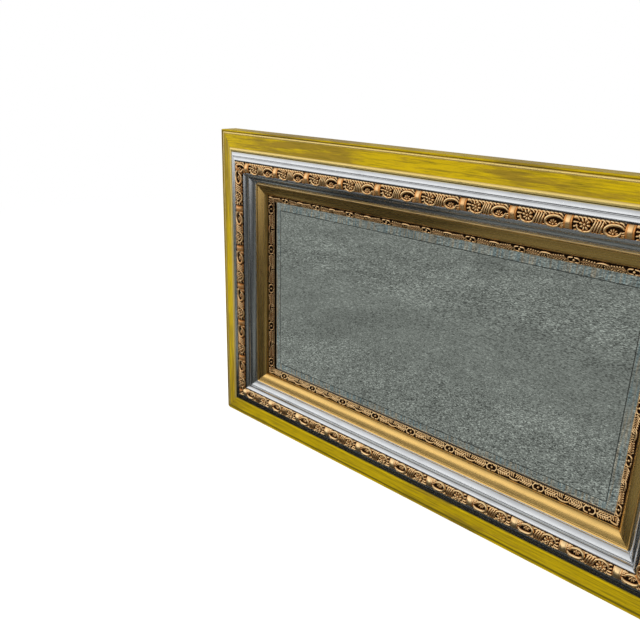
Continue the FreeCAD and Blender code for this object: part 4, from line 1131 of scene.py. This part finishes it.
def screw_head_object():
    """A domed head with a cross recess, its seat at the origin."""
    radius = sizes().screw_head
    dome = sizes().screw_dome
    rim = dome * 0.45
    profile = [(0, 0), (radius * 0.96, 0), (radius, rim * 0.4), (radius, rim)]
    for angle in (math.radians(degrees) for degrees in (18, 36, 54, 72)):
        profile.append((radius * math.cos(angle), rim + (dome - rim) * math.sin(angle)))
    profile.append((0, dome))
    head = new_object("screw_head_pattern", turned_mesh("screw_head_pattern", profile, 32))
    cross = bmesh.new()
    for wide, deep in ((0.78, 0.2), (0.2, 0.78)):
        for vertex in bmesh.ops.create_cube(cross, size=1)["verts"]:
            outside = vertex.co.y > 0
            spread = 2 * radius * (1 if outside else 0.45)
            out = dome * (1.05 if outside else 0.25)
            vertex.co = (vertex.co.x * wide * spread, out, vertex.co.z * deep * spread)
    cutter_mesh = bpy.data.meshes.new("screw_recess")
    cross.to_mesh(cutter_mesh)
    cross.free()
    cutter = new_object("screw_recess", cutter_mesh)
    recess = head.modifiers.new("Recess", "BOOLEAN")
    recess.operation = "DIFFERENCE"
    recess.object = cutter
    recess.use_self = True
    mesh = evaluated_mesh(head, "screw_head")
    bpy.data.objects.remove(cutter)
    head.modifiers.clear()
    head.data = mesh
    smooth_mesh(mesh, 35)
    return head


def scatter_tree():
    """Geometry nodes that stand a pattern object on each given point, each turned its own way."""
    sockets = {"Places": "Geometry", "Pattern": "Object", "Turn": "Float", "Finish": "Material"}
    tree, given = new_geometry_tree("Screw places", sockets, "Heads")
    pattern = add_node(tree, "GeometryNodeObjectInfo", {"Object": given["Pattern"]}, output="Geometry")
    points = add_node(tree, "GeometryNodeMeshToPoints", given["Places"])
    turn = add_node(tree, "FunctionNodeRandomValue", {"Max": given["Turn"], "Seed": 5}, data_type="FLOAT")
    standing = {"Points": points, "Instance": pattern, "Rotation": add_node(tree, "CombineXYZ", 0, turn, 0)}
    heads = add_node(tree, "GeometryNodeInstanceOnPoints", standing)
    real = add_node(tree, "GeometryNodeRealizeInstances", heads)
    return end_geometry_tree(tree, real, given["Finish"])


def build_screw_heads(node, pattern, tree):
    """Domed heads over the CAD screws of one node."""
    seats = [
        ((low.x + high.x) / 2, high.y - sizes().screw_dome, (low.z + high.z) / 2)
        for low, high in loose_boxes(node)
    ]
    places = bpy.data.meshes.new("screw_places")
    places.from_pydata(seats, [], [])
    name = f"{node}_heads"
    inputs = {"Pattern": pattern, "Turn": math.pi / 2, "Finish": finish("zinc_plated_steel")}
    mesh = bake(new_object("screw_places", places), tree, inputs, name)
    smooth_mesh(mesh, 35)
    add_piece(name, mesh, "zinc_plated_steel", "frame", [node], "zinc_steel")


def hanger_axis(side):
    """The move to the ring's axis, from the hinge that the frame gives."""
    joint = next(item for item in frame["joints"] if item["name"] == f"ring_{side}_swing")
    return Matrix.Translation(joint["pos_m"])


def bend(middle, radius, first, last, steps):
    """Points of a bend in the XZ plane, counted from +X towards +Z, in degrees."""
    angles = [math.radians(first + (last - first) * step / steps) for step in range(steps + 1)]
    return [(middle[0] + radius * math.cos(a), 0, middle[1] + radius * math.sin(a)) for a in angles]


def build_ring(side):
    """A D-ring bent from round wire, with the butt of the wire hidden in the strap's curl."""
    size = sizes()
    half = size.ring_wide / 2
    corner = size.ring_corner
    path = bend((half - corner, -corner), corner, 90, 0, size.ring_steps // 3)
    path += bend((0, half - size.ring_drop), half, 0, -180, size.ring_steps * 2)
    path += bend((corner - half, -corner), corner, 180, 90, size.ring_steps // 3)
    curve = bpy.data.curves.new(f"d_ring_wire_{side}", "CURVE")
    curve.dimensions = "3D"
    curve.bevel_depth = size.wire_round
    curve.bevel_resolution = 6
    spline = curve.splines.new("POLY")
    spline.points.add(len(path) - 1)
    for point, place in zip(spline.points, path):
        point.co = (*place, 1)
    spline.use_cyclic_u = True
    holder = new_object("ring_holder", curve)
    mesh = evaluated_mesh(holder, f"wire_ring_{side}")
    bpy.data.objects.remove(holder)
    mesh.transform(hanger_axis(side))
    mesh.shade_smooth()
    add_piece(f"wire_ring_{side}", mesh, "zinc_plated_steel", f"ring_{side}", [f"d_ring_{side}"], "ring_steel")


def build_strap(side):
    """A steel strap that curls round the ring's bar and lies flat on the moulding, its end rounded."""
    size = sizes()
    half_thick = size.strap_thick / 2
    half_wide = size.strap_wide / 2
    curl_round = size.wire_round + size.ring_play + half_thick
    # Each section is (y, z, way out of the strap, half width).
    sections = []
    for step in range(25):
        angle = math.radians(-90 + 270 * step / 24)
        way = (math.cos(angle), math.sin(angle))
        sections.append((curl_round * way[0], curl_round * way[1], way, half_wide))
    end_round = size.strap_wide * 0.22
    from_tip = [end_round * share for share in (1, 0.7, 0.45, 0.25, 0.1, 0.02, 0)]
    for reach in [size.strap_long, size.strap_long * 0.65] + from_tip:
        inset = max(end_round - reach, 0)
        narrowed = half_wide - (end_round - math.sqrt(max(end_round**2 - inset**2, 0)))
        sections.append((-curl_round, reach - size.strap_long, (-1, 0), narrowed))
    shape = bmesh.new()
    rings = [
        [
            shape.verts.new((wide * across, y + way[0] * half_thick * out, z + way[1] * half_thick * out))
            for across, out in ((-1, -1), (1, -1), (1, 1), (-1, 1))
        ]
        for y, z, way, wide in sections
    ]
    skin(shape, rings)
    name = f"strap_hanger_{side}"
    mesh = closed_mesh(shape, name, 30)
    mesh.transform(hanger_axis(side))
    piece = add_piece(name, mesh, "zinc_plated_steel", "frame", [f"hanger_strap_{side}"], "zinc_steel")
    edge = piece.modifiers.new("Rolled edge", "BEVEL")
    edge.width = 0.2 * MM
    edge.segments = 2
    edge.limit_method = "ANGLE"


def build_bumper(side):
    """A stamped felt disc with a soft rim."""
    low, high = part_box(f"wall_bumper_{side}")
    radius = (high.x - low.x) / 2
    thick = high.y - low.y
    ease = sizes().felt_ease
    profile = [(0, 0), (radius, 0), (radius, thick - ease)]
    for angle in (0.4, 0.8, 1.2):
        profile.append((radius - ease * (1 - math.cos(angle)), thick - ease * (1 - math.sin(angle))))
    profile += [(radius - ease, thick), (0, thick)]
    name = f"felt_bumper_{side}"
    mesh = turned_mesh(name, profile, 40)
    mesh.transform(Matrix.Translation(((low.x + high.x) / 2, low.y, (low.z + high.z) / 2)))
    add_piece(name, mesh, "pressed_felt", "frame", [f"wall_bumper_{side}"], "felt")


# Stage

def stage_ground():
    """Pale floor for the eye; other rays meet a plain grey ground, as the mirror shows."""
    material, tree = new_material("pale_studio_floor")
    material.cycles.emission_sampling = "NONE"
    ground = colours().ground
    rays = add_node(tree, "LightPath", output="*")
    place = add_node(tree, "TexCoord", output="Object")
    x, y, _ = add_node(tree, "SeparateXYZ", place, output="*")
    distance = add_node(tree, "VectorMath", place, operation="LENGTH")
    # Lit floor comes out white; its shadows fade into the white surround from 1.2 m to 4 m away.
    floor = add_node(tree, "BsdfPrincipled", {"Base Color": (*colours().floor, 1), "Roughness": 0.9})
    near = add_node(tree, "AddShader", floor, add_node(tree, "Emission", WHITE, 0.56))
    fade = add_node(tree, "MapRange", distance, 1.2, 4, interpolation_type="SMOOTHSTEP")
    pale = add_node(tree, "MixShader", fade, near, add_node(tree, "Emission", WHITE, 1))
    # Stones of the ground are about 3 mm across close by and 6 mm further out.
    fine = add_node(tree, "TexVoronoi", place, {"Scale": 300}, output="Color")
    coarse = add_node(tree, "TexVoronoi", place, {"Scale": 165}, output="Color")
    further = add_node(tree, "MapRange", y, -0.5, -1.3)
    stones = add_node(tree, "Mix", {"Factor": further, "A": fine, "B": coarse}, data_type="RGBA")
    worn = add_node(tree, "TexNoise", place, {"Scale": 4, "Detail": 5, "Roughness": 0.65})
    patch = add_node(tree, "MapRange", worn, 0, 1, -0.3, 0.3)
    tone = add_node(tree, "Math", add_node(tree, "SeparateColor", stones), patch, operation="ADD")
    tone_stops = [(0.05, tinted(ground, 0.3)), (0.5, ground), (0.85, tinted(ground, 1.35)), (1, tinted(ground, 2.4))]
    speckled = add_node(tree, "ValToRGB", tone, stops=tone_stops)
    # A painted shadow of the frame darkens the ground within 200 mm of its front, where reflections see it.
    clear_of_painted_shadow = add_node(tree, "MapRange", y, -0.28, -0.2, 1, 0.05, interpolation_type="SMOOTHSTEP")
    # Only the glass shows the ground as it is: leaf and composition see it toned down, with painted pools of light
    # close in front, out to the key's side and behind the frame.
    first = add_node(tree, "Math", rays["Glossy Depth"], 1.5, operation="LESS_THAN")
    in_glass = add_node(tree, "Math", rays["Is Singular Ray"], first, operation="MULTIPLY")
    aside = add_node(tree, "MapRange", x, -1.05, -0.8, 1.7, 0)
    level_with = add_node(tree, "MapRange", y, -0.5, -0.2)
    pale_side = add_node(tree, "Math", aside, level_with, operation="MULTIPLY")
    ahead = add_node(tree, "MapRange", x, -0.5, -0.3, 0.12, 0.8)
    beyond = add_node(tree, "MapRange", y, -1.1, -0.8, 0.12, ahead)
    behind = add_node(tree, "MapRange", y, 1.3, 2, pale_side, 3)
    toned = add_node(tree, "Math", clear_of_painted_shadow, beyond, behind, operation="MULTIPLY_ADD")
    seen = add_node(tree, "Mix", {"Factor": in_glass, "A": toned, "B": clear_of_painted_shadow})
    # Matt pieces get the floor's own pale bounce at a plain level.
    bounce = add_node(tree, "Mix", {"Factor": rays["Is Glossy Ray"], "A": 1.8, "B": seen})
    stony = add_node(tree, "Emission", speckled, bounce)
    # Far off, the ground too fades into the surround, which is brighter on the key's side.
    horizon = add_node(tree, "MapRange", distance, 3.2, 7, interpolation_type="SMOOTHSTEP")
    haze = add_node(tree, "Emission", WHITE, add_node(tree, "MapRange", x, -4, 2, 1, 0.12))
    far = add_node(tree, "MixShader", horizon, stony, haze)
    eye = add_node(tree, "Math", rays["Is Camera Ray"], rays["Is Transmission Ray"], operation="MAXIMUM")
    add_node(tree, "OutputMaterial", add_node(tree, "MixShader", eye, far, pale))
    return material


def build_world():
    """White surround for the eye; metal and matt pieces see it white on the key's side only."""
    world = bpy.data.worlds.new("Studio")
    bpy.context.scene.world = world
    world.use_nodes = True
    world.cycles.sampling_method = "NONE"
    tree = world.node_tree
    tree.nodes.clear()
    rays = add_node(tree, "LightPath", output="*")
    direction = add_node(tree, "TexCoord", output="Generated")
    _, y, z = add_node(tree, "SeparateXYZ", direction, output="*")
    to_key = add_node(tree, "VectorMath", direction, (-0.7, -0.25, 0.67), operation="DOT_PRODUCT")
    soft = add_node(tree, "MapRange", to_key, -1, 1, 0.05, 0.42)
    # Metal sees it brightest low on that side, a third darker overhead and pale behind the frame.
    to_side = add_node(tree, "VectorMath", direction, (-0.66, -0.73, 0.17), operation="DOT_PRODUCT")
    shiny = add_node(tree, "MapRange", to_side, -0.4, 0.95, 0.1, 1.3, interpolation_type="SMOOTHSTEP")
    overhead = add_node(tree, "MapRange", z, 0.1, 0.75, 1, 0.68)
    behind = add_node(tree, "MapRange", y, 0.4, 0.9, 0, 0.7)
    dimmed = add_node(tree, "Math", shiny, overhead, behind, operation="MULTIPLY_ADD")
    others = add_node(tree, "Mix", {"Factor": rays["Is Glossy Ray"], "A": soft, "B": dimmed})
    eye = add_node(tree, "Math", rays["Is Camera Ray"], rays["Is Transmission Ray"], operation="MAXIMUM")
    strength = add_node(tree, "Mix", {"Factor": eye, "A": others, "B": 1})
    add_node(tree, "OutputWorld", add_node(tree, "Background", WHITE, strength))


def build_camera():
    """The photograph's view: from the right, above and close by."""
    lens = bpy.data.cameras.new("Camera")
    lens.lens = 38.24
    lens.sensor_width = 36
    lens.clip_start = 0.01
    camera = new_object("Camera", lens)
    right = Vector((0.7274, 0.6859, 0.0235))
    backwards = right.cross(Vector((-0.2519, 0.2350, 0.9388))).normalized()
    up = backwards.cross(right).normalized()
    turn = Matrix((right.normalized(), up, backwards)).transposed().to_4x4()
    camera.matrix_world = Matrix.Translation((0.7609, -1.1497, 0.5240)) @ turn
    bpy.context.scene.camera = camera


def build_lights():
    """A soft key from the upper left front, close to the mirror's plane."""
    key = bpy.data.lights.new("Key", "SUN")
    key.energy = 2.5
    key.angle = math.radians(9)
    lamp = new_object("Key", key)
    # Metal shows the bright side of the surround instead of the lamp's own glare.
    lamp.visible_glossy = False
    lamp.rotation_euler = Vector((-0.42, -0.76, 0.48)).to_track_quat("Z", "Y").to_euler()


def build_floor():
    half = sizes().floor_half
    corners = [(half * x, half * y, CAD_BOX[0].z) for x, y in ((-1, -1), (1, -1), (1, 1), (-1, 1))]
    ground = bpy.data.meshes.new("floor")
    ground.from_pydata(corners, [], [(0, 1, 2, 3)])
    ground.materials.append(stage_ground())
    new_object("floor", ground)


# Operators

class MIRROR_OT_outer_moulding(bpy.types.Operator):
    """Outer moulding: lip, beads and the wide glazed field"""
    bl_idname = "mirror.outer_moulding"
    bl_label = "Outer moulding"

    def execute(self, context):
        finish_and_slot = ("brushed_green_glaze_over_gold", "green_over_gold")
        build_mouldings("outer", "outer_rail", outer_section(), *finish_and_slot, sizes().corner_round)
        return {"FINISHED"}


class MIRROR_OT_reeded_moulding(bpy.types.Operator):
    """Reeded moulding in silver leaf, which carries the large ornament"""
    bl_idname = "mirror.reeded_moulding"
    bl_label = "Reeded moulding"

    def execute(self, context):
        build_mouldings("reeded", "reeded_rail", reeded_section(), "burnished_silver_leaf", "silver_leaf")
        return {"FINISHED"}


class MIRROR_OT_gilt_liner(bpy.types.Operator):
    """Gilt liner: sloping fillet and a flat that rounds over to the small ornament"""
    bl_idname = "mirror.gilt_liner"
    bl_label = "Gilt liner"

    def execute(self, context):
        build_mouldings("liner", "gilt_liner", liner_section(), "burnished_gold_leaf", "gold_leaf")
        return {"FINISHED"}


class MIRROR_OT_large_ornament(bpy.types.Operator):
    """Large ornament strips with knuckles, scrolls and flowers"""
    bl_idname = "mirror.large_ornament"
    bl_label = "Large ornament"

    def execute(self, context):
        size = sizes()
        shifts = {"top": size.top_shift, "bottom": size.bottom_shift}
        finish_and_slot = ("copper_gilt_composition", "copper_gold")
        build_ornament("large", "ornament_strip", large_tile(), size.knuckle_pitch, shifts, *finish_and_slot)
        return {"FINISHED"}


class MIRROR_OT_small_ornament(bpy.types.Operator):
    """Small ornament strips at the sight edge"""
    bl_idname = "mirror.small_ornament"
    bl_label = "Small ornament"

    def execute(self, context):
        finish_and_slot = ("sight_edge_gilt_composition", "small_ornament_gold")
        build_ornament("small", "sight_strip", small_tile(), sizes().sight_pitch, {}, *finish_and_slot)
        return {"FINISHED"}


class MIRROR_OT_glass(bpy.types.Operator):
    """Bevelled mirror glass and the board and blocks that carry it"""
    bl_idname = "mirror.glass"
    bl_label = "Glass and filler"

    def execute(self, context):
        dress_node("mirror_glass", "silvered_float_glass")
        dress_node("filler_board", "grey_filler_board")
        dress_node("setting_blocks", "black_rubber")
        return {"FINISHED"}


class MIRROR_OT_back(bpy.types.Operator):
    """Back panel, joining plates, V-nails and every screw head"""
    bl_idname = "mirror.back"
    bl_label = "Back and fixings"

    def execute(self, context):
        dress_node("back_panel", "pressed_hardboard")
        dress_node("joining_plates", "zinc_plated_steel")
        for moulding in ("outer", "reeded", "liner"):
            dress_node(f"v_nails_{moulding}", "bright_nail_steel")
        pattern = screw_head_object()
        tree = scatter_tree()
        for node in ("panel_screws", "plate_screws", "hanger_screws"):
            build_screw_heads(node, pattern, tree)
        bpy.data.objects.remove(pattern)
        return {"FINISHED"}


class MIRROR_OT_hangers(bpy.types.Operator):
    """Strap hangers, D-rings and felt bumpers"""
    bl_idname = "mirror.hangers"
    bl_label = "Hangers and bumpers"

    def execute(self, context):
        for side in ("left", "right"):
            build_strap(side)
            build_ring(side)
            build_bumper(side)
        return {"FINISHED"}


class MIRROR_OT_stage(bpy.types.Operator):
    """Floor, surround, key light and camera"""
    bl_idname = "mirror.stage"
    bl_label = "Stage"

    def execute(self, context):
        build_world()
        build_floor()
        build_lights()
        build_camera()
        context.scene.view_settings.view_transform = "Standard"
        return {"FINISHED"}


OPERATORS = (
    MIRROR_OT_stage, MIRROR_OT_outer_moulding, MIRROR_OT_reeded_moulding, MIRROR_OT_gilt_liner,
    MIRROR_OT_large_ornament, MIRROR_OT_small_ornament, MIRROR_OT_glass, MIRROR_OT_back, MIRROR_OT_hangers,
)


class MIRROR_PT_sidebar(bpy.types.Panel):
    """Lists the mirror's pieces, sizes and colours"""
    bl_idname = "MIRROR_PT_sidebar"
    bl_label = "Wall mirror"
    bl_space_type = "VIEW_3D"
    bl_region_type = "UI"
    bl_category = "Wall mirror"

    def draw(self, context):
        for operator in OPERATORS:
            self.layout.operator(operator.bl_idname)
        for group in (context.scene.mirror_sizes, context.scene.mirror_colours):
            box = self.layout.box()
            for name in group.__annotations__:
                box.prop(group, name)


CLASSES = (MirrorSizes, MirrorColours, *OPERATORS, MIRROR_PT_sidebar)


def register():
    for item in CLASSES:
        bpy.utils.register_class(item)
    bpy.types.Scene.mirror_sizes = PointerProperty(type=MirrorSizes)
    bpy.types.Scene.mirror_colours = PointerProperty(type=MirrorColours)


def unregister():
    del bpy.types.Scene.mirror_colours
    del bpy.types.Scene.mirror_sizes
    for item in reversed(CLASSES):
        bpy.utils.unregister_class(item)


def main():
    register()
    for operator in OPERATORS:
        category, name = operator.bl_idname.split(".")
        getattr(getattr(bpy.ops, category), name)()


if __name__ == "__main__":
    main()
